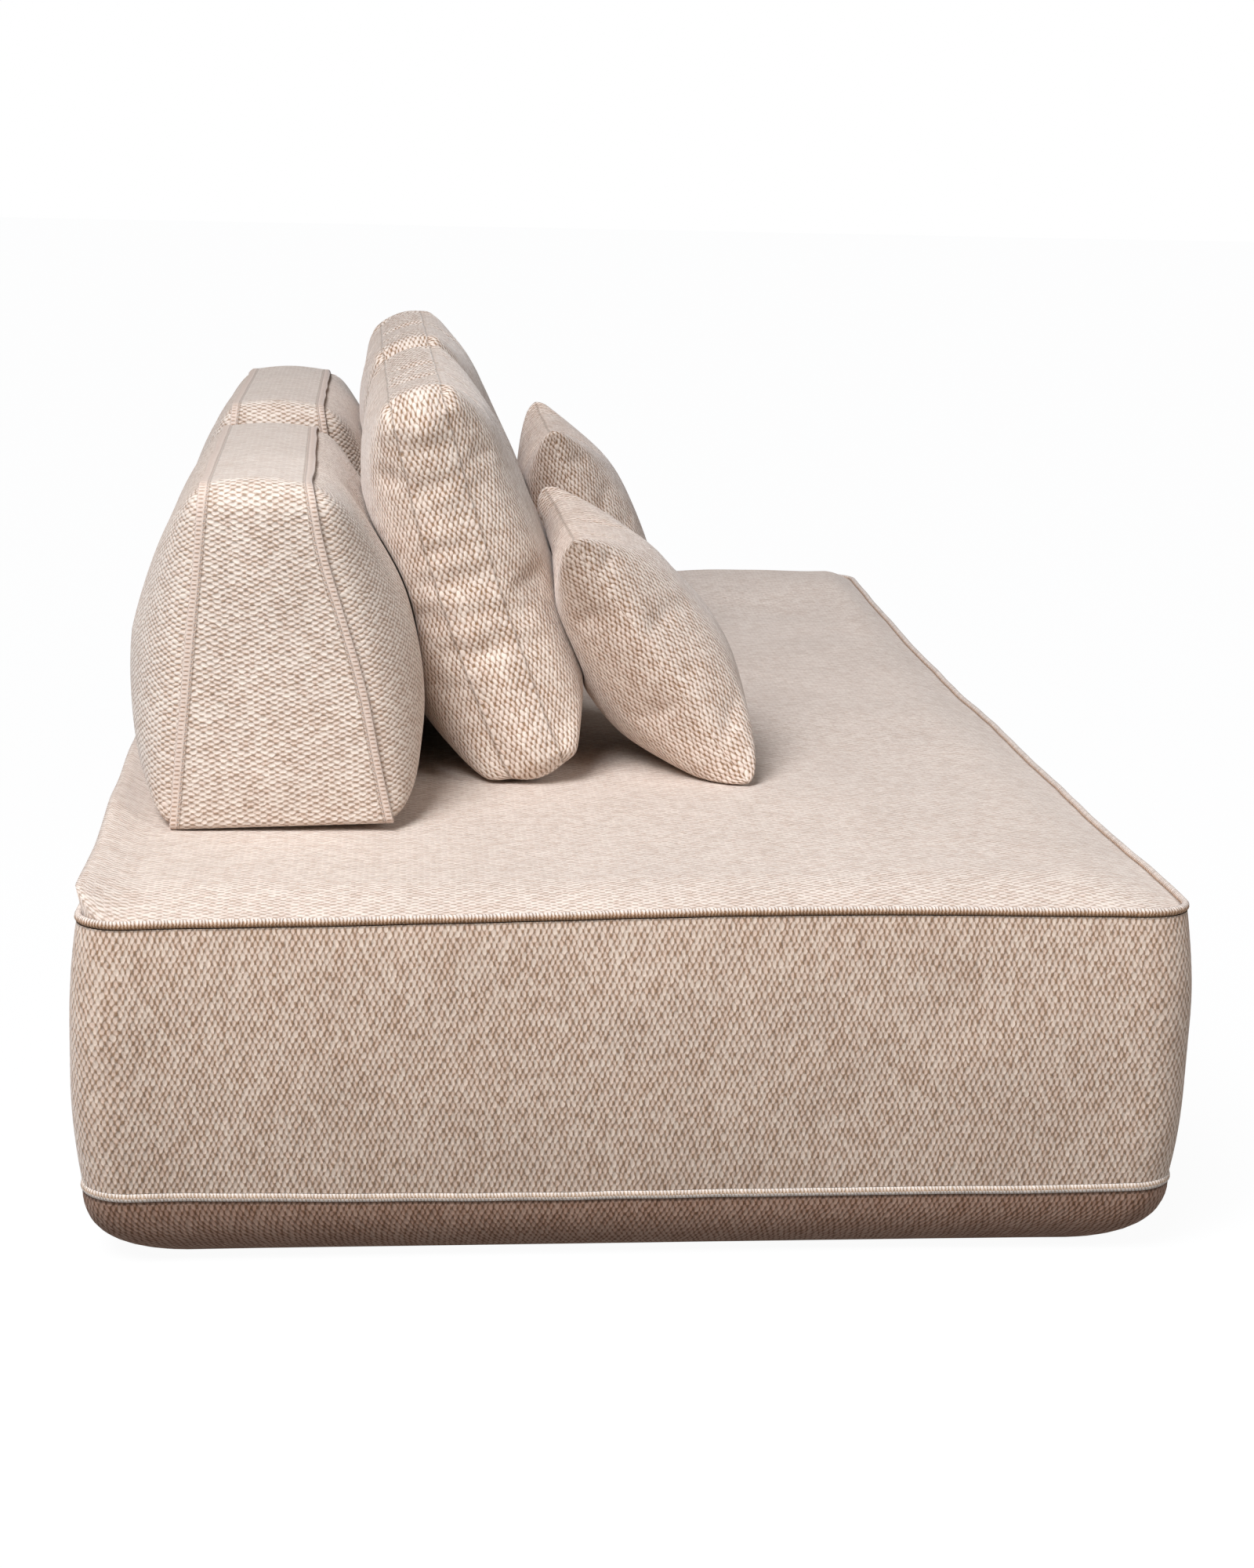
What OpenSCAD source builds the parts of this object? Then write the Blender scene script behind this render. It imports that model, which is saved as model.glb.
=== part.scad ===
/* [Seat base] */
// Length of the seat base over its piping
sofa_l = 2200; // [1900:10:2500]
// Depth of the seat base over its piping
sofa_w = 1226; // [1050:1:1350]
// Height of the flat seat top above the floor
seat_h = 424; // [400:1:450]
// How far the flat seat top stands above the upper piping's centre line
seat_rise = 21; // [14:1:30]
// Height of the lower piping's centre line
low_piping_z = 87; // [78:1:100]
// Corner radius of the base in plan, at the piping
corner_r = 55; // [40:1:70]
// How far the base's sides draw in between its corners
base_draw = 13; // [4:1:18]
// How far the side panels bulge beyond their seams
side_bulge = 10; // [4:0.5:14]
// How far the lowest panel tucks in under the base
tuck = 60; // [45:1:75]
// How much the plan corners grow rounder at the bottom of the tuck
tuck_round = 55; // [40:1:70]
// Width of the sloping rim round the flat seat top
crown_run = 105; // [70:1:130]

/* [Fabric and padding] */
// Thickness of the cover fabric
fabric_t = 3; // [2:0.1:4]
// Thickness of the piping cord with its fabric
piping_d = 9.5; // [7:0.5:12]
// Thickness of the fibre wadding over the seat foam
wadding_t = 12; // [8:1:16]
// Thickness of the dust cloth under the base
cloth_t = 1.5; // [1:0.1:2]

/* [Frame] */
// Thickness of the plywood rails
rail_t = 25; // [20:1:32]
// Distance of the rails from the piping's outer line
rail_inset = 74; // [72:1:95]
// Height of the front and rear rails
rail_h = 270; // [250:1:280]
// Height of the rails that cross the frame
cross_rail_h = 235; // [200:1:245]
// Number of rails that cross the frame
cross_rail_count = 3; // [1:1:5]
// Length of the cut across each frame corner
corner_cut = 80; // [70:1:95]
// How far each corner block reaches along its cut
block_reach = 50; // [35:1:60]
// Width of one webbing strap
strap_w = 60; // [50:1:80]
// Thickness of one webbing strap
strap_t = 2; // [1.5:0.1:2.5]
// Number of straps from front to rear
cross_strap_count = 21; // [12:1:22]
// Number of straps along the length
long_strap_count = 9; // [6:1:10]
// Height of a glide under the base
glide_h = 6; // [5:0.5:12]
// Diameter of a glide where it meets the frame
glide_d = 36; // [28:1:40]
// Diameter of a glide's screw
screw_d = 4.5; // [3.5:0.1:6]
// Length of a glide's screw under its head
screw_l = 38; // [25:1:50]

/* [Backrests] */
// Length of one loose backrest
backrest_l = 743; // [600:1:800]
// Height of a backrest at its seams
backrest_h = 396; // [340:1:430]
// Depth of a backrest's gusset at the bottom
backrest_base_w = 239; // [210:1:260]
// Depth of a backrest's gusset at the top
backrest_top_w = 107; // [80:1:130]
// How far the rear face leans forward from bottom to top
backrest_rear_lean = 40; // [20:1:60]
// Distance of the backrests' rear seams from the base's rear piping
backrest_rear_inset = 98; // [95:1:130]
// Gap between the two backrests
backrest_gap = 29; // [10:1:60]
// How far the pair of backrests stands off the middle
backrest_shift = -25.5; // [-60:0.5:60]
// Radius of a backrest's upper corners
backrest_corner_r = 36; // [20:1:45]
// Radius of a backrest's lower corners
backrest_foot_r = 8; // [6:1:20]
// How far a backrest's front panel bulges
backrest_front_crown = 68; // [50:1:80]
// How far a backrest's rear panel bulges
backrest_rear_crown = 80; // [50:1:85]
// Width of the sewn flange that stands along a backrest's seams
flange_w = 11; // [8:0.5:14]
// Thickness of that flange
flange_t = 4; // [3:0.1:5]
// Thickness of the grip mat under a backrest
grip_t = 1.5; // [1:0.1:2]
// Thickness of the board in the foot of a backrest
board_t = 12; // [9:1:18]
// Thickness of the steel weight on that board
weight_t = 6; // [4:0.5:8]
// Width of the steel weight
weight_w = 150; // [120:1:180]
// How far the steel weight stops short of each end of its board
weight_margin = 60; // [40:1:100]

/* [Back cushions] */
// Length of one back cushion
cushion_l = 572; // [500:1:600]
// Height of a back cushion along its lean
cushion_h = 522; // [480:1:560]
// Width of the boxing band between its two panels
boxing_w = 66; // [50:1:80]
// How far each panel bulges from the band
cushion_crown = 67; // [50:1:76]
// Radius of a back cushion's upper corners
cushion_corner_r = 44; // [30:1:60]
// Radius of its lower corners, which its weight presses square
cushion_foot_r = 28; // [20:1:50]
// How much thicker a back cushion is at its foot, and thinner at its head, as a share
cushion_sag_share = 0.2; // [0:0.02:0.3]
// How far the sides draw in between the corners
cushion_draw = 9; // [4:0.5:14]
// How far a back cushion leans back, in degrees
cushion_lean = 18.5; // [14:0.5:22]
// Gap between the two back cushions
cushion_gap = 20; // [10:1:60]

/* [Scatter cushions] */
// Width and height of a scatter cushion between its corner tips
scatter_size = 384; // [340:1:420]
// How far each side of a scatter cushion bulges
scatter_crown = 88; // [60:1:110]
// How far the sides draw in between the pinched corners
scatter_draw = 17; // [10:0.5:24]
// How much thicker a scatter cushion is at its foot, and thinner at its head, as a share
scatter_sag_share = 0.14; // [0:0.02:0.3]
// How far the right scatter cushion leans back, in degrees
scatter_right_lean = 36; // [28:0.5:40]
// How far the left scatter cushion leans back, in degrees
scatter_left_lean = 21; // [18:0.5:36]
// How far the right scatter cushion rolls on its corner, in degrees
scatter_right_roll = 3; // [0:0.5:8]
// How far the left scatter cushion rolls on its corner, in degrees
scatter_left_roll = 1; // [0:0.5:8]
// Place of the right scatter cushion's middle along the sofa
scatter_right_x = -410; // [-480:1:-300]
// Place of the left scatter cushion's middle along the sofa
scatter_left_x = 385; // [300:1:480]

/* [Zips] */
// Length of a zip in a back cushion
cushion_zip_l = 300; // [240:1:380]
// Length of a zip in a scatter cushion
scatter_zip_l = 180; // [140:1:200]
// Width of a zip's tape
tape_w = 22; // [16:1:26]
// Thickness of a zip's tape
tape_t = 1; // [0.8:0.1:1.4]
// Width of a zip's coil
coil_w = 5; // [4:0.1:6]
// Height of a zip's coil
coil_h = 1.8; // [1.2:0.1:2.4]
// Length of a zip's slider
slider_l = 11; // [9:0.5:14]
// Wall of a zip's slider
slider_wall = 1.2; // [1:0.1:1.6]
// Length of a zip's pull
pull_l = 20; // [14:1:26]

/* [Hidden] */
$fn = 48;

// Sides of the sofa, as its sitter has them: the right side lies at negative X
right = -1;
left = 1;

// Gaps between pieces of one cover, between loose pieces and round a backrest's foam, and a cut's overrun
seam_gap = 0.2;
rest_gap = 0.3;
foam_gap = 2;
overrun = 5;

// Shares of the way in from a seam to the middle of a bulging panel
outer_shares = [0, 0.02, 0.06, 0.14, 0.27, 0.45, 0.68, 0.88];
inner_shares = [0, 0.14, 0.45, 0.88];
// Shares of the height of the side panels, and of the quarter turn of the tuck
band_shares = [0, 0.08, 0.2, 0.35, 0.5, 0.65, 0.8, 0.92, 1];
tuck_shares = [0, 0.2, 0.4, 0.6, 0.8, 1];
foam_tuck_shares = [0, 0.2, 0.4, 0.6];
// Shares of the sloping rim of the seat
crown_shares = [0, 0.15, 0.35, 0.6, 0.8, 1];

// Steps of an outline: round each corner, and along each straight or drawn side
base_arc_steps = 5;
panel_arc_steps = 4;
cushion_arc_steps = 3;
scatter_arc_steps = 2;
cord_steps = 8;
straight_steps = 1;
drawn_steps = 4;

// How flat the middle of a drawn-in side stays, and how sharply the panels turn in at their seams
draw_power = 4;
panel_turn = 0.5;
cushion_turn = 0.46;
scatter_turn = 0.6;
// How far in the lower panel starts from the piping's outer line
band_edge = 2;
// Radius of a scatter cushion's corner tips, and what rounding inwards adds to a radius
tip_r = 5;
inward_round = 0.85;
full_round_share = 0.98;

// Heights through the base, from the floor up
cloth_z = glide_h;
frame_z = cloth_z + cloth_t;
frame_top_z = frame_z + rail_h;
foam_z = frame_top_z + 2 * strap_t;
hem_inset = piping_d + seam_gap;
top_piping_z = seat_h - seat_rise;
panel_top_z = top_piping_z - piping_d / 2 - seam_gap;
panel_low_z = low_piping_z + piping_d / 2 + seam_gap;
tuck_top_z = low_piping_z - piping_d / 2 - seam_gap;
tuck_h = tuck_top_z - glide_h;
// Share of its full thickness that the wadding has at its edge
wadding_edge_share = 0.2;
// Half sizes of the frame in plan
frame_hx = sofa_l / 2 - rail_inset;
frame_hy = sofa_w / 2 - rail_inset;

// A glide's taper, its screw head and the clearance of the screw
glide_taper = 3;
screw_head_d = 2 * screw_d;
screw_head_h = 2;
screw_clearance = 0.1;
glide_end_margin = 30;

// The backrest's seams
backrest_z = seat_h + rest_gap + grip_t;
backrest_mid_z = backrest_z + backrest_h / 2;
backrest_rear_y = sofa_w / 2 - backrest_rear_inset;
backrest_front_y = backrest_rear_y - backrest_base_w;
backrest_front_lean = backrest_base_w - backrest_top_w - backrest_rear_lean;
backrest_pitch = backrest_l + backrest_gap;
backrest_hz = backrest_h / 2 - flange_t - seam_gap;
backrest_hx = backrest_l / 2 - flange_t - seam_gap;
board_inset = backrest_corner_r;
board_z = backrest_z + fabric_t + seam_gap;
grip_margin = 20;
backrest_foam_z = board_z + board_t + weight_t + seam_gap;

// A closed outline in plan: rounded corners joined by straight sides in equal steps
function corner(cx, cy, r, start, steps) =
    [for (i = [0:steps]) let (a = start + 90 * i / steps) [cx + r * cos(a), cy + r * sin(a)]];
function between(a, b, steps) = [for (i = [1:1:steps - 1]) a + (b - a) * i / steps];
function outline(hx, hy, r, low_r, arc_steps, side_steps) = concat(
    corner(hx - r, hy - r, r, 0, arc_steps),
    between([hx - r, hy], [r - hx, hy], side_steps),
    corner(r - hx, hy - r, r, 90, arc_steps),
    between([-hx, hy - r], [-hx, low_r - hy], side_steps),
    corner(low_r - hx, low_r - hy, low_r, 180, arc_steps),
    between([low_r - hx, -hy], [hx - low_r, -hy], side_steps),
    corner(hx - low_r, low_r - hy, low_r, 270, arc_steps),
    between([hx, low_r - hy], [hx, hy - r], side_steps)
);
// Draws the sides of an outline in between its corners
function drawn(p, hx, hy, draw) = [
    p.x * (1 - draw / hx * (1 - pow(p.y / hy, draw_power))),
    p.y * (1 - draw / hy * (1 - pow(p.x / hx, draw_power)))
];

function total(values) = values * [for (v = values) 1];
function middle(ring) = [for (axis = [0:2]) total([for (p = ring) p[axis]]) / len(ring)];
function six_volumes(points, faces) =
    total([for (f = faces) points[f[0]] * cross(points[f[1]], points[f[2]])]);
function flipped(face) = [face[2], face[1], face[0]];

// Draws the closed solid that the triangles bound, whichever way they turn
module closed_solid(points, faces) {
    outward = six_volumes(points, faces) < 0;
    polyhedron(points = points, faces = outward ? faces : [for (f = faces) flipped(f)]);
}

// Two triangles for each pair of steps between two rings, split along the shorter diagonal
function ring_faces(points, from, to, n) = [
    for (i = [0:n - 1])
        let (j = (i + 1) % n, a = from * n + i, b = from * n + j, c = to * n + j, d = to * n + i)
            each norm(points[a] - points[c]) < norm(points[b] - points[d]) ? [[a, d, c], [a, c, b]]
                : [[a, d, b], [b, d, c]]
];

// A solid through stacked rings, closed by a fan over the first and the last
module loft(rings) {
    n = len(rings[0]);
    m = len(rings);
    points = concat([for (ring = rings) each ring], [middle(rings[0]), middle(rings[m - 1])]);
    walls = [for (k = [0:m - 2]) each ring_faces(points, k, k + 1, n)];
    caps = [
        for (i = [0:n - 1])
            let (j = (i + 1) % n, last = (m - 1) * n)
                each [[m * n, i, j], [m * n + 1, last + j, last + i]]
    ];
    closed_solid(points, concat(walls, caps));
}

// A hollow band through rings, its last ring joined to its first
module band(rings) {
    n = len(rings[0]);
    m = len(rings);
    points = [for (ring = rings) each ring];
    closed_solid(points, [for (k = [0:m - 1]) each ring_faces(points, k, (k + 1) % m, n)]);
}

function reversed(list) = [for (i = [len(list) - 1:-1:0]) list[i]];

// The seat base

// One level ring of the base, set in from the piping's outer line
function base_outline(inset, r, draw) =
    let (hx = sofa_l / 2 - inset, hy = sofa_w / 2 - inset)
        [for (p = outline(hx, hy, r, r, base_arc_steps, drawn_steps)) drawn(p, hx, hy, draw)];
function base_ring(inset, z, r, draw) = [for (p = base_outline(inset, r, draw)) [p.x, p.y, z]];
function base_level(inset, z) = base_ring(inset, z, corner_r - min(inset, hem_inset), base_draw);

// How far in the side panels lie at a height, and the tuck's rings at a share of its turn
function band_share(z) = max(0, min(1, (z - panel_low_z) / (panel_top_z - panel_low_z)));
function band_inset(z) = band_edge - side_bulge * sin(180 * band_share(z));
function band_height(share) = panel_low_z + share * (panel_top_z - panel_low_z);
band_rows = [for (share = band_shares) [band_height(share), band_inset(band_height(share))]];
// The same levels for what lies behind the side panels, between two heights
function inner_levels(low_z, high_z) =
    concat([low_z], [for (row = band_rows) if (row[0] > low_z && row[0] < high_z) row[0]], [high_z]);
function foam_level(z) = base_level(lookup(z, band_rows) + fabric_t + seam_gap, z);
function tuck_ring(share, skin) = base_ring(
    band_edge + skin + (tuck - skin) * (1 - cos(90 * share)),
    tuck_top_z - (tuck_h - skin) * sin(90 * share),
    corner_r - band_edge - skin + (tuck_round + skin) * (1 - cos(90 * share)),
    base_draw * cos(90 * share)
);

// Height that the seat gains over its rim
function crown(share) = seat_rise * sin(90 * share);
function crown_ring(share, drop) =
    base_level(hem_inset + crown_run * share, top_piping_z + crown(share) - drop);
function wadding_drop(share) =
    fabric_t + 2 * seam_gap + wadding_t * (wadding_edge_share + (1 - wadding_edge_share) * share);

module seat_top_panel() {
    color("#d8c6b6")
        loft(concat(
            [for (share = reversed(crown_shares)) crown_ring(share, fabric_t)],
            [for (share = crown_shares) crown_ring(share, 0)]
        ));
}

// A cord that runs all round the base at one height
module piping(z) {
    r = piping_d / 2;
    color("#d9c5b4")
        band([
            for (i = [0:cord_steps - 1])
                let (a = 360 * i / cord_steps)
                    base_level(r - r * cos(a), z + r * sin(a))
        ]);
}

module side_band() {
    color("#c4ae9c")
        band(concat(
            [for (share = band_shares) base_level(band_inset(band_height(share)), band_height(share))],
            [for (share = reversed(band_shares))
                base_level(band_inset(band_height(share)) + fabric_t, band_height(share))]
        ));
}

module lower_band() {
    color("#7d6a5d")
        band(concat(
            [for (share = tuck_shares) tuck_ring(share, 0)],
            [for (share = reversed(tuck_shares)) tuck_ring(share, fabric_t)]
        ));
}

// Repeats its children under the front and rear rails, where the glides stand
module at_glides() {
    reach = frame_hx - corner_cut - glide_end_margin;
    for (x = [-reach, 0, reach], side = [-1, 1])
        translate([x, side * (frame_hy - rail_t / 2), 0])
            children();
}

module dust_cloth() {
    inset = band_edge + tuck + seam_gap;
    color("#2f2b29")
        translate([0, 0, cloth_z])
            difference() {
                linear_extrude(cloth_t)
                    polygon(base_outline(inset, corner_r + tuck_round - band_edge - seam_gap, 0));
                at_glides()
                    translate([0, 0, -overrun])
                        cylinder(h = cloth_t + 2 * overrun, d = screw_d + 2 * screw_clearance);
            }
}

module seat_wadding() {
    color("#f4f1ea")
        loft(concat(
            [for (share = reversed(crown_shares)) crown_ring(share, wadding_drop(share) - seam_gap)],
            [for (share = crown_shares) crown_ring(share, fabric_t + seam_gap)]
        ));
}

module seat_foam() {
    color("#efe3b8")
        loft(concat(
            [for (z = inner_levels(foam_z, top_piping_z - piping_d)) foam_level(z)],
            [for (share = crown_shares) crown_ring(share, wadding_drop(share))]
        ));
}

module edge_foam() {
    top_z = foam_z - seam_gap;
    inner = rail_inset - seam_gap;
    color("#e9dcae")
        band(concat(
            [for (z = inner_levels(panel_low_z, top_z)) foam_level(z)],
            [for (z = [top_z, panel_low_z]) base_ring(inner, z, corner_cut, 0)]
        ));
}

module lower_edge_foam() {
    skin = fabric_t + seam_gap;
    low_z = tuck_top_z - (tuck_h - skin) * sin(90 * foam_tuck_shares[len(foam_tuck_shares) - 1]);
    inner = rail_inset - seam_gap;
    color("#e9dcae")
        band(concat(
            [for (share = foam_tuck_shares) tuck_ring(share, skin)],
            [for (z = [low_z, tuck_top_z]) base_ring(inner, z, corner_cut, 0)]
        ));
}

// A rail on edge along the front or the rear, bored for its glides' screws
module long_rail(side) {
    run = frame_hx - corner_cut;
    color("#c9a36d")
        difference() {
            translate([-run, side > 0 ? frame_hy - rail_t : -frame_hy, frame_z])
                cube([2 * run, rail_t, rail_h]);
            at_glides()
                translate([0, 0, frame_z - overrun])
                    cylinder(h = screw_l + overrun, d = screw_d + 2 * screw_clearance);
        }
}

// The end rails stand one strap higher, so that the lengthwise straps lie level
module end_rails() {
    run = frame_hy - corner_cut;
    color("#c9a36d")
        for (side = [-1, 1])
            translate([side > 0 ? frame_hx - rail_t : -frame_hx, -run, frame_z])
                cube([rail_t, 2 * run, rail_h + strap_t]);
}

module cross_rails() {
    run = frame_hy - rail_t;
    pitch = 2 * (frame_hx - corner_cut) / (cross_rail_count + 1);
    color("#c39c66")
        for (i = [1:cross_rail_count])
            translate([-frame_hx + corner_cut + i * pitch - rail_t / 2, -run, frame_z])
                cube([rail_t, 2 * run, cross_rail_h]);
}

module corner_blocks() {
    color("#b98f5b")
        for (mx = [0, 1], my = [0, 1])
            mirror([mx, 0, 0])
                mirror([0, my, 0])
                    translate([frame_hx, frame_hy, frame_z])
                        linear_extrude(rail_h)
                            polygon([
                                [-corner_cut, 0], [0, -corner_cut],
                                [-block_reach, -corner_cut], [-corner_cut, -block_reach]
                            ]);
}

// Straps lie in equal steps over the frame, the lengthwise ones on top of the others
module webbing_cross() {
    run = frame_hx - corner_cut;
    pitch = 2 * run / cross_strap_count;
    color("#4a4540")
        for (i = [0:cross_strap_count - 1])
            translate([-run + (2 * i + 1) * pitch / 2 - strap_w / 2, -frame_hy, frame_top_z])
                cube([strap_w, 2 * frame_hy, strap_t]);
}

module webbing_long() {
    run = frame_hy - corner_cut;
    pitch = 2 * run / long_strap_count;
    color("#524c46")
        for (i = [0:long_strap_count - 1])
            translate([-frame_hx, -run + (2 * i + 1) * pitch / 2 - strap_w / 2, frame_top_z + strap_t])
                cube([2 * frame_hx, strap_w, strap_t]);
}

module glides() {
    color("#2b2927")
        at_glides()
            difference() {
                cylinder(h = glide_h, d1 = glide_d - 2 * glide_taper, d2 = glide_d);
                translate([0, 0, -overrun])
                    cylinder(h = glide_h + 2 * overrun, d = screw_d + 2 * screw_clearance);
                translate([0, 0, -overrun])
                    cylinder(h = overrun + 2 * screw_head_h, d = screw_head_d + 2 * screw_clearance);
            }
}

module glide_screws() {
    color("#9a9a98")
        at_glides()
            union() {
                translate([0, 0, screw_head_h])
                    cylinder(h = screw_head_h, d = screw_head_d);
                translate([0, 0, screw_head_h])
                    cylinder(h = frame_z + screw_l - screw_head_h - overrun, d = screw_d);
            }
}

// The loose backrests

function backrest_x(side) = backrest_shift + side * backrest_pitch / 2;
function front_seam_y(z) = backrest_front_y + backrest_front_lean * (z - backrest_z) / backrest_h;
function rear_seam_y(z) = backrest_rear_y - backrest_rear_lean * (z - backrest_z) / backrest_h;

// Corner radius of a panel's ring at a share of the way in, short of half the ring's size
function ring_radius(half, r, share) =
    full_round_share * min(half * (1 - share), r + inward_round * share * half);

// Bulge of a panel at a share of the way in from its seam
function bulge(share, crown, turn) = crown * pow(1 - pow(1 - share, 2), turn);

// One ring of a leaning panel: half sizes, place of its middle, share inwards and bulge
function panel_ring(hx, hz, mid_z, share, depth, front) = [
    for (p = outline(
        hx - share * hz, hz * (1 - share), ring_radius(hz, backrest_corner_r, share),
        ring_radius(hz, backrest_foot_r, share), panel_arc_steps, straight_steps))
        let (z = mid_z + p.y)
            [p.x, front ? front_seam_y(z) - seam_gap - depth : rear_seam_y(z) + seam_gap + depth, z]
];

// A backrest seen from the front, set in by a wall: rounder at the top than at the foot
module backrest_face(wall) {
    hx = backrest_l / 2 - wall;
    hz = backrest_h / 2 - wall;
    head_r = backrest_corner_r - wall;
    foot_r = backrest_foot_r - wall;
    union() {
        translate([-hx, foot_r - hz])
            square([2 * hx, 2 * hz - foot_r - head_r]);
        translate([foot_r - hx, -hz])
            square([2 * (hx - foot_r), hz]);
        translate([head_r - hx, 0])
            square([2 * (hx - head_r), hz]);
        for (side = [-1, 1]) {
            translate([side * (hx - head_r), hz - head_r])
                circle(r = head_r);
            translate([side * (hx - foot_r), foot_r - hz])
                circle(r = foot_r);
        }
    }
}

// The strip that runs round a backrest, with walls of one thickness
module backrest_strip(wall) {
    depth = 2 * (backrest_rear_y + flange_w + overrun);
    translate([0, depth / 2, backrest_mid_z])
        rotate([90, 0, 0])
            linear_extrude(depth)
                difference() {
                    backrest_face(0);
                    backrest_face(wall);
                }
}

// A block between two leaning faces, given by their places at the foot and at the head
module leaning_block(low_y, high_y, low_t, high_t) {
    translate([-backrest_l / 2 - overrun, 0, backrest_z])
        rotate([90, 0, 90])
            linear_extrude(backrest_l + 2 * overrun)
                polygon([
                    [low_y, 0], [low_y + low_t, 0],
                    [high_y + high_t, backrest_h], [high_y, backrest_h]
                ]);
}

module backrest_gusset(side) {
    color("#d3c0af")
        translate([backrest_x(side), 0, 0])
            intersection() {
                backrest_strip(fabric_t);
                leaning_block(
                    backrest_front_y, backrest_front_y + backrest_front_lean,
                    backrest_base_w, backrest_top_w
                );
            }
}

module backrest_flange(side, front) {
    low_y = front ? backrest_front_y - flange_w : backrest_rear_y;
    high_y = front ? low_y + backrest_front_lean : low_y - backrest_rear_lean;
    color("#dccabb")
        translate([backrest_x(side), 0, 0])
            intersection() {
                backrest_strip(flange_t);
                leaning_block(low_y, high_y, flange_w, flange_w);
            }
}

module backrest_panel(side, front) {
    crown = front ? backrest_front_crown : backrest_rear_crown;
    color("#cdb9a8")
        translate([backrest_x(side), 0, 0])
            loft(concat(
                [for (share = reversed(inner_shares))
                    panel_ring(
                        backrest_hx - fabric_t, backrest_hz - fabric_t, backrest_mid_z, share,
                        bulge(share, crown - fabric_t, panel_turn), front)],
                [for (share = outer_shares)
                    panel_ring(
                        backrest_hx, backrest_hz, backrest_mid_z, share,
                        bulge(share, crown, panel_turn), front)]
            ));
}

// The foam fills the cover down to the weight, so its rings stop at that height
function foam_ring(share, crown, front) =
    let (skin = fabric_t + seam_gap)
        [for (p = panel_ring(
            backrest_hx - skin, backrest_hz - skin, backrest_mid_z, share,
            bulge(share, crown - skin, panel_turn) - foam_gap, front))
            [p.x, p.y, max(p.z, backrest_foam_z)]];

module backrest_foam(side) {
    color("#efe3b8")
        translate([backrest_x(side), 0, 0])
            loft(concat(
                [for (share = reversed(inner_shares)) foam_ring(share, backrest_front_crown, true)],
                [for (share = inner_shares) foam_ring(share, backrest_rear_crown, false)]
            ));
}

module backrest_board(side) {
    color("#c9a36d")
        translate([
            backrest_x(side) - backrest_l / 2 + board_inset,
            backrest_front_y + board_inset, board_z])
            cube([backrest_l - 2 * board_inset, backrest_base_w - 2 * board_inset, board_t]);
}

module backrest_weight(side) {
    l = backrest_l - 2 * board_inset - 2 * weight_margin;
    mid_y = backrest_front_y + backrest_base_w / 2;
    color("#77797c")
        translate([backrest_x(side) - l / 2, mid_y - weight_w / 2, board_z + board_t])
            cube([l, weight_w, weight_t]);
}

module backrest_grip_mat(side) {
    color("#4b4742")
        translate([
            backrest_x(side) - backrest_l / 2 + backrest_corner_r + grip_margin,
            backrest_front_y + grip_margin, backrest_z - grip_t])
            cube([
                backrest_l - 2 * (backrest_corner_r + grip_margin),
                backrest_base_w - 2 * grip_margin, grip_t]);
}

// The back cushions and scatter cushions, each drawn upright round its own middle

// How much the sagging filling thickens a cushion at a height above its middle
function sagged(z, hz, sag) = 1 - sag * z / hz;
// One ring of an upright cushion at a share of the way in: depth of its seam, and how far it swells
function cushion_ring(hx, hz, r, foot_r, draw, arc_steps, share, depth, swell, sag) = [
    for (p = outline(
        hx * (1 - share), hz * (1 - share), ring_radius(min(hx, hz), r, share),
        ring_radius(min(hx, hz), foot_r, share), arc_steps, drawn_steps))
        let (q = drawn(p, hx, hz, draw * (1 - share)))
            [q.x, depth + swell * sagged(q.y, hz, sag), q.y]
];

// Height and depth that an upright point takes once it is rolled and leans back
function rolled_z(p, roll) = p.x * sin(roll) + p.z * cos(roll);
function leant_z(p, lean, roll) = rolled_z(p, roll) * cos(lean) - p.y * sin(lean);
function leant_y(p, lean, roll) = rolled_z(p, roll) * sin(lean) + p.y * cos(lean);

module leaning(place, lean, roll) {
    translate(place)
        rotate([-lean, 0, 0])
            rotate([0, -roll, 0])
                children();
}

cushion_hx = cushion_l / 2;
cushion_hz = cushion_h / 2;
boxing_half = boxing_w / 2;

function cushion_x(side) = side * (cushion_l + cushion_gap) / 2;
function cushion_level(skin, share, depth, swell) = cushion_ring(
    cushion_hx - skin, cushion_hz - skin, cushion_corner_r - skin, cushion_foot_r - skin,
    cushion_draw, cushion_arc_steps, share, depth, swell, cushion_sag_share
);
function cushion_panel_ring(skin, share, back) = cushion_level(
    skin, share, back * (boxing_half + seam_gap), back * bulge(share, cushion_crown - skin, cushion_turn)
);

// A cushion's panel halfway along it: places at equal steps from foot to head
profile_shares = [0.03:0.03:0.97];
function cushion_profile(back) = [
    for (v = profile_shares)
        let (way = 2 * v - 1, swell = bulge(1 - abs(way), cushion_crown, cushion_turn))
            [
                0,
                back * (boxing_half + seam_gap + swell * sagged(way, 1, cushion_sag_share)),
                way * cushion_hz
            ]
];

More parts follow.
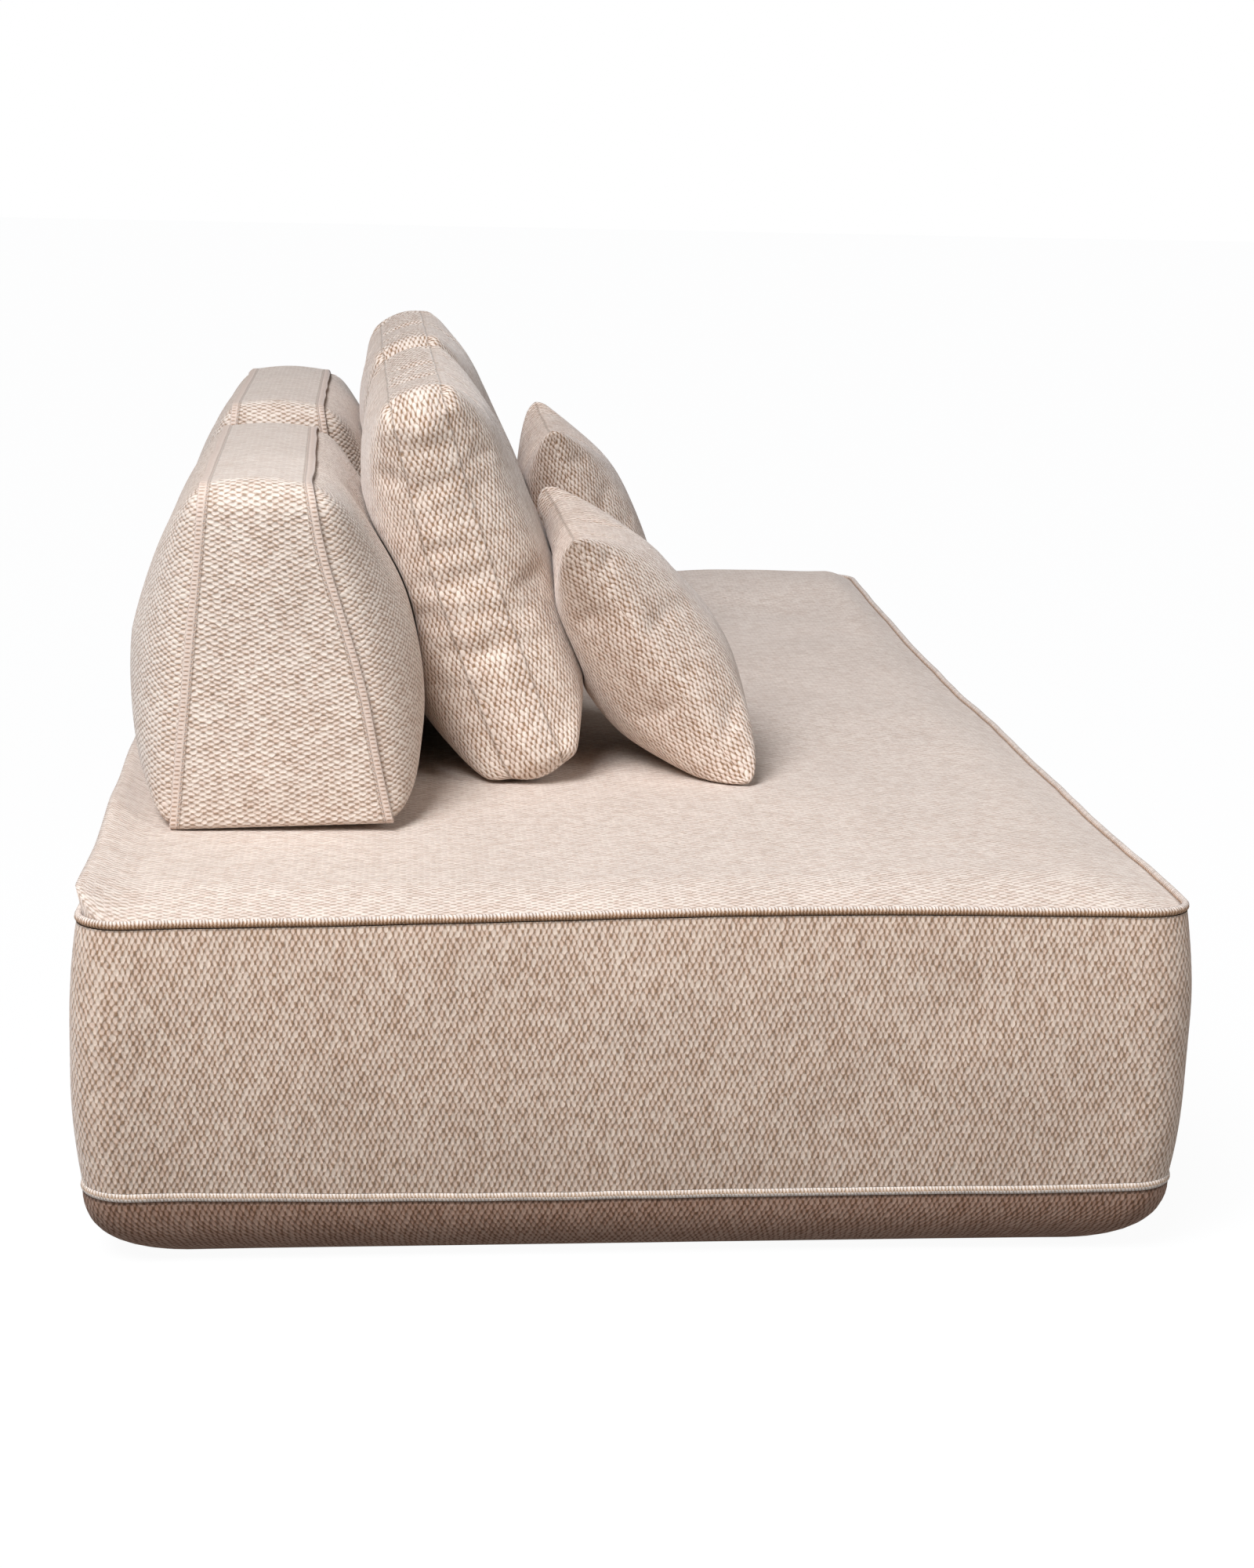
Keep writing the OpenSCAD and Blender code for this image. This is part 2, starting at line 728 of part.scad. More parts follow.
// Each back cushion stands on the seat and leans on the backrest behind it
cushion_low = min([
    for (share = outer_shares, p = cushion_panel_ring(0, share, 1)) leant_z(p, cushion_lean, 0)
]);
cushion_mid_z = seat_h + rest_gap - cushion_low;
function backrest_face_y(z) =
    let (
        share = 1 - abs(z - backrest_mid_z) / backrest_hz,
        proud = share > 0 ? bulge(share, backrest_front_crown, panel_turn) : flange_w
    )
        front_seam_y(z) - seam_gap - proud;
cushion_mid_y = min([
    for (p = cushion_profile(1))
        let (z = cushion_mid_z + leant_z(p, cushion_lean, 0))
            if (z < backrest_z + backrest_h) backrest_face_y(z) - leant_y(p, cushion_lean, 0)
]) - rest_gap;
cushion_face = [
    for (p = cushion_profile(-1))
        [cushion_mid_z + leant_z(p, cushion_lean, 0), cushion_mid_y + leant_y(p, cushion_lean, 0)]
];

module on_cushion(side) {
    leaning([cushion_x(side), cushion_mid_y, cushion_mid_z], cushion_lean, 0)
        children();
}

module cushion_panel(side, back) {
    color("#cbb7a5")
        on_cushion(side)
            loft(concat(
                [for (share = reversed(inner_shares)) cushion_panel_ring(fabric_t, share, back)],
                [for (share = outer_shares) cushion_panel_ring(0, share, back)]
            ));
}

module cushion_boxing(side) {
    color("#c6b19e")
        on_cushion(side)
            band([
                for (edge = [[0, -1], [0, 1], [fabric_t, 1], [fabric_t, -1]])
                    cushion_level(edge[0], 0, edge[1] * boxing_half, 0)
            ]);
}

module cushion_filling(side) {
    skin = fabric_t + seam_gap;
    color("#f4f1ea")
        on_cushion(side)
            loft([
                for (step = concat(
                    [for (share = reversed(inner_shares)) [share, -1]],
                    [for (share = inner_shares) [share, 1]]))
                    cushion_level(
                        skin, step[0], step[1] * (boxing_half - seam_gap),
                        step[1] * bulge(step[0], cushion_crown - skin, cushion_turn))
            ]);
}

// A straight zip, upright under the edge that it closes: tape, then coil, going down
module zip(l) {
    color("#b9a592")
        union() {
            translate([-l / 2, -tape_w / 2, -tape_t])
                cube([l, tape_w, tape_t]);
            translate([-l / 2, -coil_w / 2, -tape_t - coil_h])
                cube([l, coil_w, coil_h + tape_t]);
        }
}

// The slider straddles the coil, and its pull lies along the coil behind it
module zip_slider(l) {
    body_w = coil_w + 2 * (rest_gap + slider_wall);
    body_h = coil_h + slider_wall;
    floor_z = -tape_t - rest_gap;
    color("#b08d57")
        translate([-l / 2 + rest_gap, 0, floor_z])
            union() {
                difference() {
                    translate([0, -body_w / 2, -body_h])
                        cube([slider_l, body_w, body_h]);
                    translate([-overrun, -coil_w / 2 - rest_gap, -coil_h])
                        cube([slider_l + 2 * overrun, coil_w + 2 * rest_gap, coil_h + overrun]);
                }
                translate([slider_l - slider_wall, -coil_w / 2, -body_h])
                    cube([pull_l, coil_w, slider_wall]);
            }
}

// How far under a cushion's middle its drawn lower edge lies, where its zip ends
function edge_drop(hx, hz, r, draw, zip_l) = -lookup(zip_l / 2, [
    for (i = [0:drawn_steps]) drawn([(2 * i / drawn_steps - 1) * (hx - r), -hz], hx, hz, draw)
]) + seam_gap;
cushion_zip_drop = edge_drop(cushion_hx, cushion_hz, cushion_foot_r, cushion_draw, cushion_zip_l);

module cushion_zip(side) {
    on_cushion(side)
        translate([0, 0, -cushion_zip_drop])
            zip(cushion_zip_l);
}

module cushion_zip_slider(side) {
    on_cushion(side)
        translate([0, 0, -cushion_zip_drop])
            zip_slider(cushion_zip_l);
}

scatter_half = scatter_size / 2;

function scatter_x(side) = side == right ? scatter_right_x : scatter_left_x;
function scatter_lean(side) = side == right ? scatter_right_lean : scatter_left_lean;
function scatter_roll(side) = side == right ? scatter_right_roll : scatter_left_roll;
function scatter_ring(skin, share, back, gap) = cushion_ring(
    scatter_half - skin, scatter_half - skin, tip_r, tip_r, scatter_draw, scatter_arc_steps, share,
    back * gap, back * bulge(share, scatter_crown - skin, scatter_turn), scatter_sag_share
);

// Each scatter cushion stands on one corner and leans on the back cushion behind it
function scatter_mid_z(side) = seat_h + rest_gap - min([
    for (share = outer_shares, back = [-1, 1], p = scatter_ring(0, share, back, seam_gap / 2))
        leant_z(p, scatter_lean(side), scatter_roll(side))
]);
function scatter_mid_y(side, mid_z) = min([
    for (share = outer_shares, p = scatter_ring(0, share, 1, seam_gap / 2))
        lookup(mid_z + leant_z(p, scatter_lean(side), scatter_roll(side)), cushion_face)
            - leant_y(p, scatter_lean(side), scatter_roll(side))
]) - rest_gap;

module on_scatter(side) {
    mid_z = scatter_mid_z(side);
    leaning([scatter_x(side), scatter_mid_y(side, mid_z), mid_z], scatter_lean(side), scatter_roll(side))
        children();
}

module scatter_cover(side, back) {
    color("#c8b3a0")
        on_scatter(side)
            loft(concat(
                [for (share = reversed(inner_shares)) scatter_ring(fabric_t, share, back, seam_gap / 2)],
                [for (share = outer_shares) scatter_ring(0, share, back, seam_gap / 2)]
            ));
}

module scatter_insert(side) {
    skin = fabric_t + seam_gap;
    color("#f4f1ea")
        on_scatter(side)
            loft(concat(
                [for (share = reversed(inner_shares)) scatter_ring(skin, share, -1, 0)],
                [for (share = inner_shares) if (share > 0) scatter_ring(skin, share, 1, 0)]
            ));
}

scatter_zip_drop = edge_drop(scatter_half, scatter_half, tip_r, scatter_draw, scatter_zip_l);

module scatter_zip(side) {
    on_scatter(side)
        translate([0, 0, -scatter_zip_drop])
            zip(scatter_zip_l);
}

module scatter_zip_slider(side) {
    on_scatter(side)
        translate([0, 0, -scatter_zip_drop])
            zip_slider(scatter_zip_l);
}

seat_top_panel();
piping(top_piping_z);  // top_piping
side_band();
piping(low_piping_z);  // lower_piping
lower_band();
dust_cloth();
seat_wadding();
seat_foam();
edge_foam();
lower_edge_foam();
long_rail(-1);  // front_rail
long_rail(1);  // rear_rail
end_rails();
cross_rails();
corner_blocks();
webbing_long();
webbing_cross();
glides();
glide_screws();
backrest_gusset(right);  // backrest_right_gusset
backrest_panel(right, true);  // backrest_right_front_panel
backrest_panel(right, false);  // backrest_right_rear_panel
backrest_flange(right, true);  // backrest_right_front_flange
backrest_flange(right, false);  // backrest_right_rear_flange
backrest_foam(right);  // backrest_right_foam
backrest_board(right);  // backrest_right_board
backrest_weight(right);  // backrest_right_weight
backrest_grip_mat(right);  // backrest_right_grip_mat
backrest_gusset(left);  // backrest_left_gusset
backrest_panel(left, true);  // backrest_left_front_panel
backrest_panel(left, false);  // backrest_left_rear_panel
backrest_flange(left, true);  // backrest_left_front_flange
backrest_flange(left, false);  // backrest_left_rear_flange
backrest_foam(left);  // backrest_left_foam
backrest_board(left);  // backrest_left_board
backrest_weight(left);  // backrest_left_weight
backrest_grip_mat(left);  // backrest_left_grip_mat
cushion_panel(right, -1);  // cushion_right_front_panel
cushion_panel(right, 1);  // cushion_right_rear_panel
cushion_boxing(right);  // cushion_right_boxing
cushion_filling(right);  // cushion_right_filling
cushion_zip(right);  // cushion_right_zip
cushion_zip_slider(right);  // cushion_right_zip_slider
cushion_panel(left, -1);  // cushion_left_front_panel
cushion_panel(left, 1);  // cushion_left_rear_panel
cushion_boxing(left);  // cushion_left_boxing
cushion_filling(left);  // cushion_left_filling
cushion_zip(left);  // cushion_left_zip
cushion_zip_slider(left);  // cushion_left_zip_slider
scatter_cover(right, -1);  // scatter_right_front_cover
scatter_cover(right, 1);  // scatter_right_rear_cover
scatter_insert(right);  // scatter_right_insert
scatter_zip(right);  // scatter_right_zip
scatter_zip_slider(right);  // scatter_right_zip_slider
scatter_cover(left, -1);  // scatter_left_front_cover
scatter_cover(left, 1);  // scatter_left_rear_cover
scatter_insert(left);  // scatter_left_insert
scatter_zip(left);  // scatter_left_zip
scatter_zip_slider(left);  // scatter_left_zip_slider
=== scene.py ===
"""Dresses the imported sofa: covers, cords, cushions, fittings, light and camera."""

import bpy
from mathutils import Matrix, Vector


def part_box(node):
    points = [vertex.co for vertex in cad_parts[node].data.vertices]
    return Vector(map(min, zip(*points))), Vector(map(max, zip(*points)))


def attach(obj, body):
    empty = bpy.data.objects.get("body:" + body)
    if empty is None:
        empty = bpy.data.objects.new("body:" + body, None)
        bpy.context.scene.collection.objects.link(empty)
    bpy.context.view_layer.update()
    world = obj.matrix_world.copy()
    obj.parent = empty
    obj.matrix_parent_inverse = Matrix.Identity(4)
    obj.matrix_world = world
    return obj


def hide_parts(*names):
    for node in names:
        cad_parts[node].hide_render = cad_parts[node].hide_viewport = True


bl_info = {
    "name": "Sofa with loose backrests",
    "version": (1, 0, 0),
    "blender": (4, 5, 0),
    "location": "View3D > Sidebar > Sofa",
    "description": "Sews the covers of a low sofa round its frame and lights it",
    "category": "Add Mesh",
}

import math

import bmesh
import bpy
import numpy as np
from bpy.props import FloatProperty, FloatVectorProperty, IntProperty, PointerProperty
from mathutils import Matrix, Vector
from mathutils.bvhtree import BVHTree

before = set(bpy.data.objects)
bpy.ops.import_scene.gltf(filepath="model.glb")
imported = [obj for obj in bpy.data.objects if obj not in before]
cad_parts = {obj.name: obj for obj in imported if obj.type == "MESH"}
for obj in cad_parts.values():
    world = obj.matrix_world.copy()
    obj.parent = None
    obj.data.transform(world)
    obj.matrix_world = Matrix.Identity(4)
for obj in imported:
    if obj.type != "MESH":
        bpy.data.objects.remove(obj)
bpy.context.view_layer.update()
SIDES = ("right", "left")


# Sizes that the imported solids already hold

def reach(*nodes):
    """Lowest and highest corner of several solids together."""
    boxes = [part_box(node) for node in nodes]
    low = np.min([np.array(low) for low, high in boxes], axis=0)
    high = np.max([np.array(high) for low, high in boxes], axis=0)
    return low, high


def middle_of(*nodes):
    """Middle of the box round several solids."""
    low, high = reach(*nodes)
    return (low + high) / 2


# Settings

def length(name, text, default):
    return FloatProperty(name=name, description=text, default=default, unit="LENGTH", precision=4)


def share(name, text, default):
    return FloatProperty(name=name, description=text, default=default, min=0, max=1, subtype="FACTOR")


def tint(name, text, default):
    return FloatVectorProperty(name=name, description=text, default=default, size=3, min=0, max=1, subtype="COLOR")


def angle(name, text, default):
    return FloatProperty(name=name, description=text, default=default, subtype="ANGLE")


def amount(name, text, default):
    return FloatProperty(name=name, description=text, default=default, min=0)


class SofaBaseSettings(bpy.types.PropertyGroup):
    corner: length("Corner radius", "Radius of the base's corners in plan", 0.055)
    draw: length("Side draw", "How far the sides draw in between the corners", 0.013)
    bulge: length("Side bulge", "How far the side panels bulge", 0.010)
    edge: length("Panel edge", "How far in the side panels start from the cord", 0.002)
    tuck: length("Tuck", "How far the lowest panel tucks in", 0.060)
    tuck_round: length("Tuck rounding", "What the corners gain in radius under the base", 0.034)
    rim: length("Rim", "Width of the sloping rim round the seat", 0.105)
    rear_rim: length("Rear rim", "Width of the steep rim along the rear", 0.035)
    shoulder: length("Rear shoulder", "How far the seat stands up over its rear edge", 0.034)
    shoulder_run: length("Shoulder place", "How far in from the rear the shoulder is highest", 0.010)
    overhang: length("Rear overhang", "How far the seat's shoulder leans out over the cord", 0.018)
    step: length("Grid step", "Distance between the points of the covers", 0.012)
    dip: length("Worn corner", "How far the seat has sunk at its near rear corner", 0.012)
    fullness: length("Full corner", "How far the seat still stands up at its far front corner", 0.020)
    slack: length("Slack front", "How far the front draws in towards the far end", 0.014)
    ear: length("Corner ear", "How far the near front corner flares out", 0.008)
    swollen: length("Lower cord's swelling", "What the loose cloth adds to the lower cord's radius", 0.0018)
    belly: length("Cord belly", "How far the lower cord hangs at the near end", 0.009)


class SofaBackrestSettings(bpy.types.PropertyGroup):
    corner: length("Upper corner", "Radius of the upper corners", 0.036)
    foot: length("Lower corner", "Radius of the lower corners", 0.008)
    flange_width: length("Flange width", "How far the sewn flange stands out", 0.011)
    flange_thickness: length("Flange thickness", "Thickness of the sewn flange", 0.004)
    bulge: length("Gusset bulge", "How far the strip between the panels bulges", 0.005)
    belly: length("Front belly", "How far the front settles forward below its middle", 0.004)
    taper: share("Rear taper", "How much less the rear bulges at its head", 0.26)
    droop: length("Rear droop", "How far the rear foot sinks into the seat at the near end", 0.009)


class SofaCushionSettings(bpy.types.PropertyGroup):
    corner: length("Upper corner", "Radius of a back cushion's upper corners", 0.044)
    foot: length("Lower corner", "Radius of its lower corners", 0.028)
    crown: length("Crown", "How far each panel bulges from the strip between them", 0.064)
    sag: share("Sag", "How much thicker the foot is than the middle", 0.2)
    draw: length("Side draw", "How far a back cushion's sides draw in", 0.009)
    end: length("End swell", "How far the strip swells at the outer end", 0.016)
    bend: length("Bend", "How far the middle sinks towards the backrest", 0.012)
    slump: length("Slump", "How far the top of the right one has sunk", 0.013)
    lean: angle("Lean", "How far the back cushions lean back", math.radians(18.5))
    pressure: amount("Filling pressure", "Pressure of the filling in the cloth", 4.0)
    swell: length("Swell", "How far the filling may push a point of the cloth", 0.024)
    frames: IntProperty(name="Frames", description="Steps of the cloth simulation", default=20, min=1)


class SofaScatterSettings(bpy.types.PropertyGroup):
    half: length("Half size", "Half the width of a scatter cushion", 0.192)
    tip: length("Corner tip", "Radius of the pinched corners", 0.007)
    crown: length("Crown", "How far each side bulges", 0.084)
    sag: share("Sag", "How much thicker the foot is than the middle", 0.14)
    draw: length("Side draw", "How far a scatter cushion's sides draw in", 0.017)
    drape: length("Drape", "How far the lower edge hangs between its tips, over the zip", 0.018)
    settle: length("Settling", "How far a scatter cushion sinks into the one behind it", 0.018)
    right_lean: angle("Right lean", "How far the right one leans back", math.radians(36))
    left_lean: angle("Left lean", "How far the left one leans back", math.radians(21))
    right_roll: angle("Right roll", "How far the right one rolls on its corner", math.radians(3))
    left_roll: angle("Left roll", "How far the left one rolls on its corner", math.radians(1))


class SofaFabricSettings(bpy.types.PropertyGroup):
    yarn: tint("Yarn", "Colour of the raised yarn", (0.68, 0.51, 0.415))
    pale_yarn: tint("Pale yarn", "Colour of the palest stitches", (0.74, 0.655, 0.59))
    grey_yarn: tint("Grey yarn", "Colour of the greyest strands", (0.66, 0.58, 0.48))
    red_yarn: tint("Red yarn", "Colour of the warmest strands", (0.68, 0.45, 0.33))
    gap: tint("Gap", "Colour between the stitches", (0.27, 0.16, 0.088))
    across: length("Stitch pitch", "Distance between stitches side by side", 0.0066)
    along: length("Row pitch", "Distance between rows of stitches", 0.0068)
    relief: length("Relief", "Height of a stitch", 0.0013)


class SofaStageSettings(bpy.types.PropertyGroup):
    floor: tint("Floor", "Colour of the floor", (0.30, 0.30, 0.30))
    camera_place: FloatVectorProperty(
        name="Camera place", description="Where the camera stands", default=(-3.9362, 0.2963, 1.2254), size=3,
        subtype="TRANSLATION", unit="LENGTH")
    camera_turn: angle("Camera turn", "How far the camera turns towards the front", 0.0959)
    camera_tilt: angle("Camera tilt", "How far the camera looks down", 0.2331)
    camera_roll: angle("Camera roll", "How far the camera rolls", 0.0234)
    lens: amount("Lens", "Focal length of the camera, in millimetres", 63.72)
    sun: amount("Sun", "Strength of the far light", 2.5)
    box: amount("Soft box", "Power of the soft box at the near end, in watts", 46)
    front: amount("Front box", "Power of the soft box at the front, in watts", 22)
    fill: amount("Fill light", "Strength of the light from all round", 0.07)


# Shader maths

class Wire:
    """An output of a node that takes part in sums."""

    def __init__(self, paint, socket):
        self.paint, self.socket = paint, socket

    def maths(self, operation, *others):
        return self.paint.node("ShaderNodeMath", {"operation": operation}, dict(enumerate((self, *others))))

    def __add__(self, other):
        return self.maths("ADD", other)

    __radd__ = __add__

    def __sub__(self, other):
        return self.maths("SUBTRACT", other)

    def __rsub__(self, other):
        return self.paint.node("ShaderNodeMath", {"operation": "SUBTRACT"}, {0: other, 1: self})

    def __mul__(self, other):
        return self.maths("MULTIPLY", other)

    __rmul__ = __mul__

    def __truediv__(self, other):
        return self.maths("DIVIDE", other)

    def __pow__(self, other):
        return self.maths("POWER", other)

    def steps(self, low, high):
        """0 below low, 1 above high, and a smooth rise between them."""
        return self.paint.node("ShaderNodeMapRange", {"interpolation_type": "SMOOTHSTEP"},
                               {"Value": self, "From Min": low, "From Max": high})


class Paint:
    """A material or a world under construction."""

    def __init__(self, name, kind=None):
        self.made = (bpy.data.materials if kind is None else kind).new(name)
        self.made.use_nodes = True
        self.tree = self.made.node_tree
        self.tree.nodes.clear()

    def node(self, kind, settings=None, inputs=None, output=0):
        """Adds a node: first its settings, a ramp's stops among them, then what its sockets hold."""
        made = self.tree.nodes.new(kind)
        for key, value in (settings or {}).items():
            if key == "stops":
                self.set_stops(made.color_ramp.elements, value)
            else:
                setattr(made, key, value)
        for key, value in (inputs or {}).items():
            if isinstance(value, Wire):
                self.tree.links.new(value.socket, made.inputs[key])
            else:
                made.inputs[key].default_value = value
        return made if output is None else Wire(self, made.outputs[output])

    @staticmethod
    def set_stops(points, stops):
        while len(points) < len(stops):
            points.new(0.5)
        for point, (place, colour) in zip(points, stops):
            point.position, point.color = place, (*colour, 1)

    def blend(self, share, low, high):
        """A mix of two colours."""
        low, high = ((*c, 1) if isinstance(c, tuple) and len(c) == 3 else c for c in (low, high))
        return self.node("ShaderNodeMix", {"data_type": "RGBA"}, {0: share, 6: low, 7: high}, 2)

    def scaled(self, colour, light):
        """A colour made lighter or darker by a number."""
        return self.node("ShaderNodeVectorMath", {"operation": "SCALE"}, {0: colour, "Scale": light})

    def chance(self, *stitch):
        """A number between 0 and 1 for each stitch, which one or two whole numbers tell apart."""
        if len(stitch) == 1:
            return self.node("ShaderNodeTexWhiteNoise", {"noise_dimensions": "1D"}, {"W": stitch[0]})
        return self.node("ShaderNodeTexWhiteNoise", {"noise_dimensions": "2D"}, {"Vector": self.vector(*stitch)})

    def grain(self, vector, size, detail=2.0, roughness=0.5):
        """Noise whose patches measure about a size."""
        return self.node("ShaderNodeTexNoise", {}, {
            "Vector": vector, "Scale": 1 / size, "Detail": detail, "Roughness": roughness})

    def place(self):
        return self.node("ShaderNodeTexCoord", output="Object")

    def vector(self, x, y, z=0.0):
        return self.node("ShaderNodeCombineXYZ", {}, {0: x, 1: y, 2: z})

    def parts(self, vector):
        made = self.node("ShaderNodeSeparateXYZ", {}, {0: vector}, None)
        return [Wire(self, out) for out in made.outputs]

    def laid(self, layer):
        """How the cloth was cut: metres across and along, kept in a UV layer."""
        return self.parts(self.node("ShaderNodeUVMap", {"uv_map": layer}))[:2]

    def finish(self, colour, roughness, bump, depth, strength, **sockets):
        """Ends a material with its shader: colour, roughness, the relief of a height and other sockets by name."""
        normal = self.node("ShaderNodeBump", {}, {"Height": bump, "Distance": depth, "Strength": strength})
        inputs = {"Base Color": colour, "Roughness": roughness, "Normal": normal}
        inputs.update({key.replace("_", " "): value for key, value in sockets.items()})
        shader = self.node("ShaderNodeBsdfPrincipled", {}, inputs)
        self.node("ShaderNodeOutputMaterial", {}, {0: shader}, None)
        return self.made


# Materials

FUZZ = {"Sheen_Roughness": 0.45, "Specular_IOR_Level": 0.15}


def chunky_weave(name, *, warm, shade, contrast, relief, seam, seam_depth_and_shade, drift=(0.16, 0.16), sheen=0.3):
    """Oval stitches laid like bricks in a heathered yarn, with small brown gaps between them.

    warm is the share of the warm yarn; it differs between the copies of this one cloth to paint the warmer look
    of faces where light grazes into the gaps. shade is painted light and shade over all: each copy is made lighter
    or darker for the light that its part of the sofa gets. contrast says how dark the gaps are, relief how high the
    stitches stand, seam how wide the crease at a seam is, and the argument after it how deep that crease is and how
    dark the shade painted into it. drift is the size of the slow patches, over the floor and upwards, and sheen the
    strength of the fuzz.
    """
    cloth = bpy.context.scene.sofa_fabric
    paint = Paint(name)
    across, along = paint.laid("cloth")
    place = paint.place()
    x, y, z = paint.parts(place)

    # The rows waver by most of a stitch
    across = across / cloth.across + (paint.grain(place, 0.011, 1.0) - 0.5) * 0.75
    along = along / cloth.along + (paint.grain(place, 0.015, 1.0) - 0.5) * 0.8
    crossed, lengthwise = (across * math.tau).maths("COSINE"), (along * math.pi).maths("COSINE")
    lobe = (crossed + lengthwise).maths("ABSOLUTE") * 0.17 + crossed * lengthwise * 0.30 + 0.36
    chance = paint.chance((across + along / 2).maths("ROUND"), (across - along / 2).maths("ROUND"))
    fibre = paint.grain(paint.vector(across * 3.1, along * 1.1), 1.0, 2.0)
    strand = paint.grain(paint.vector(across * 1.3, along / 5), 1.0, 2.0, 0.6)
    fleck = paint.grain(place, 0.0014, 2.0, 0.6)
    raised = (lobe + (chance - 0.5) * 0.2 + (fibre - 0.5) * 0.5 + (fleck - 0.5) * 0.3).steps(0.02, 0.68)

    # The yarn runs from warm to pale in slow patches, with grey and red flecks
    patches = paint.grain(paint.vector(x / drift[0], y / drift[0], z / drift[1]), 1.0, 3.0, 0.55)
    cloud = paint.grain(place, 0.045, 3.0, 0.6)
    pale = (chance * 0.15 + strand * 0.5 + fleck * 0.4 + patches * 0.35 + cloud * 0.3).steps(0.5, 1.2)
    warm_yarn, pale_yarn = (tuple(w * part + p * (1 - part) for w, p in zip(cloth.yarn, cloth.pale_yarn))
                            for part in (warm, warm * 0.55))
    yarn = paint.blend(pale, warm_yarn, pale_yarn)
    greyer = (fleck + (chance - 0.5) * 0.25).steps(0.5, 0.7) * 0.4
    redder = (0.5 - fleck + (0.5 - chance) * 0.25).steps(0.0, 0.2) * 0.4
    yarn = paint.blend(redder, paint.blend(greyer, yarn, tuple(cloth.grey_yarn)), tuple(cloth.red_yarn))
    gap = tuple(g + (w - g) * (1 - contrast) for g, w in zip(cloth.gap, warm_yarn))
    colour = paint.blend(raised, gap, yarn)

    light = 0.66 + fibre * 0.22 + fleck * 0.16 + patches * 0.20 + cloud * 0.12 + (chance - 0.5) * 0.08
    crease = paint.laid("seam")[0].steps(0.0, seam)
    height = raised * 0.4 + lobe * 0.6 + fibre * 0.3 + fleck * 0.15 + crease * seam_depth_and_shade * 1.5
    # Painted shade in the crease along each seam: towards the seam the colour darkens to half the gap's colour
    colour = paint.blend((1 - crease) * seam_depth_and_shade, colour, tuple(g * 0.5 for g in cloth.gap))
    # shade paints light and shade: it makes this copy of the cloth lighter or darker for the light its part gets
    colour = paint.node("ShaderNodeVectorMath", {"operation": "MULTIPLY"}, {0: paint.scaled(colour, light), 1: shade})
    return paint.finish(colour, 0.9, height, cloth.relief * relief, 0.8, **{
        **FUZZ, "Sheen_Weight": sheen, "Sheen_Roughness": 0.5, "Sheen_Tint": (1.0, 0.98, 0.96, 1.0)})


def cord_fabric(name, gap, dark):
    """The weave cut on the cross and sewn tight over a cord, so that it shows as fine ribs."""
    rib_pitch, rib_slant = 0.0039, 0.025
    cloth = bpy.context.scene.sofa_fabric
    paint = Paint(name)
    along, around = paint.laid("cloth")
    place = paint.place()
    turn = along / rib_pitch + around / rib_slant + (paint.grain(place, 0.012, 2.0) - 0.5) * 1.3
    rib = (turn * math.tau).maths("COSINE") * 0.5 + 0.5
    chance = paint.chance(turn.maths("ROUND"))
    fibre = paint.grain(place, 0.0016, 2.0)
    # Painted light and shade: the cord is paler and more covered in yarn on top, and browner and darker underneath,
    # as light falls from above; dark sets how far down the pale top reaches
    up = (around / (CORD / 2)).maths("SINE")
    raised = (rib + up * 0.35 + (fibre - 0.5) * 0.6).steps(-0.05, 0.85)
    shaded_underside = tuple(yarn * wear_and_shade for yarn, wear_and_shade in zip(cloth.yarn, (0.85, 0.75, 0.62)))
    colour = paint.blend(raised, gap, paint.blend(up.steps(dark, 0.9), shaded_underside, tuple(cloth.pale_yarn)))
    light = 0.84 + fibre * 0.25 + (chance - 0.5) * 0.2
    colour = paint.scaled(colour, light)
    return paint.finish(colour, 0.9, raised + fibre * 0.2, 0.0010, 1.0, Sheen_Weight=0.08, **FUZZ)


def flange_fabric(name):
    """A doubled edge of the weave with a row of stitches along its foot."""
    stitch, line_place = 0.0052, 0.0016
    cloth = bpy.context.scene.sofa_fabric
    paint = Paint(name)
    along, out = paint.laid("cloth")
    place = paint.place()
    beat = (along / stitch * math.tau).maths("COSINE")
    lobe = beat * (out / cloth.along * math.pi).maths("COSINE")
    fibre = paint.grain(place, 0.0018, 2.0)
    raised = (lobe + (paint.grain(place, 0.006, 1.0) - 0.5)).steps(-1.0, 0.3)
    middle = tuple((y + p) / 2 for y, p in zip(cloth.yarn, cloth.pale_yarn))
    gap = tuple((g + y) / 2 for g, y in zip(cloth.gap, cloth.yarn))
    sewn = (1 - (out - line_place).maths("ABSOLUTE").steps(0.0004, 0.0012)) * beat.steps(-0.4, 0.2)
    light = (0.86 + fibre * 0.26) * (1 - 0.4 * sewn)
    colour = paint.scaled(paint.blend(raised, gap, middle), light)
    return paint.finish(colour, 0.9, raised * 0.6 - sewn * 0.6, 0.0010, 1.0, Sheen_Weight=0.3, **FUZZ)


def plywood(name):
    """Thin plies under a face with long, slow rings."""
    ply = 0.0028
    paint = Paint(name)
    x, y, z = paint.parts(paint.place())
    rings = paint.grain(paint.vector(x / 0.35, y / 0.35, z / 0.012), 1.0, 4.0, 0.6)
    plies = (z / ply * math.tau).maths("SINE") * 0.5 + 0.5
    stops = ((0.25, (0.36, 0.22, 0.11)), (0.55, (0.56, 0.38, 0.22)), (0.8, (0.66, 0.48, 0.30)))
    colour = paint.node("ShaderNodeValToRGB", {"stops": stops}, {0: rings * 0.8 + plies * 0.2})
    return paint.finish(colour, 0.55 + rings * 0.2, rings, 0.0006, 0.6)


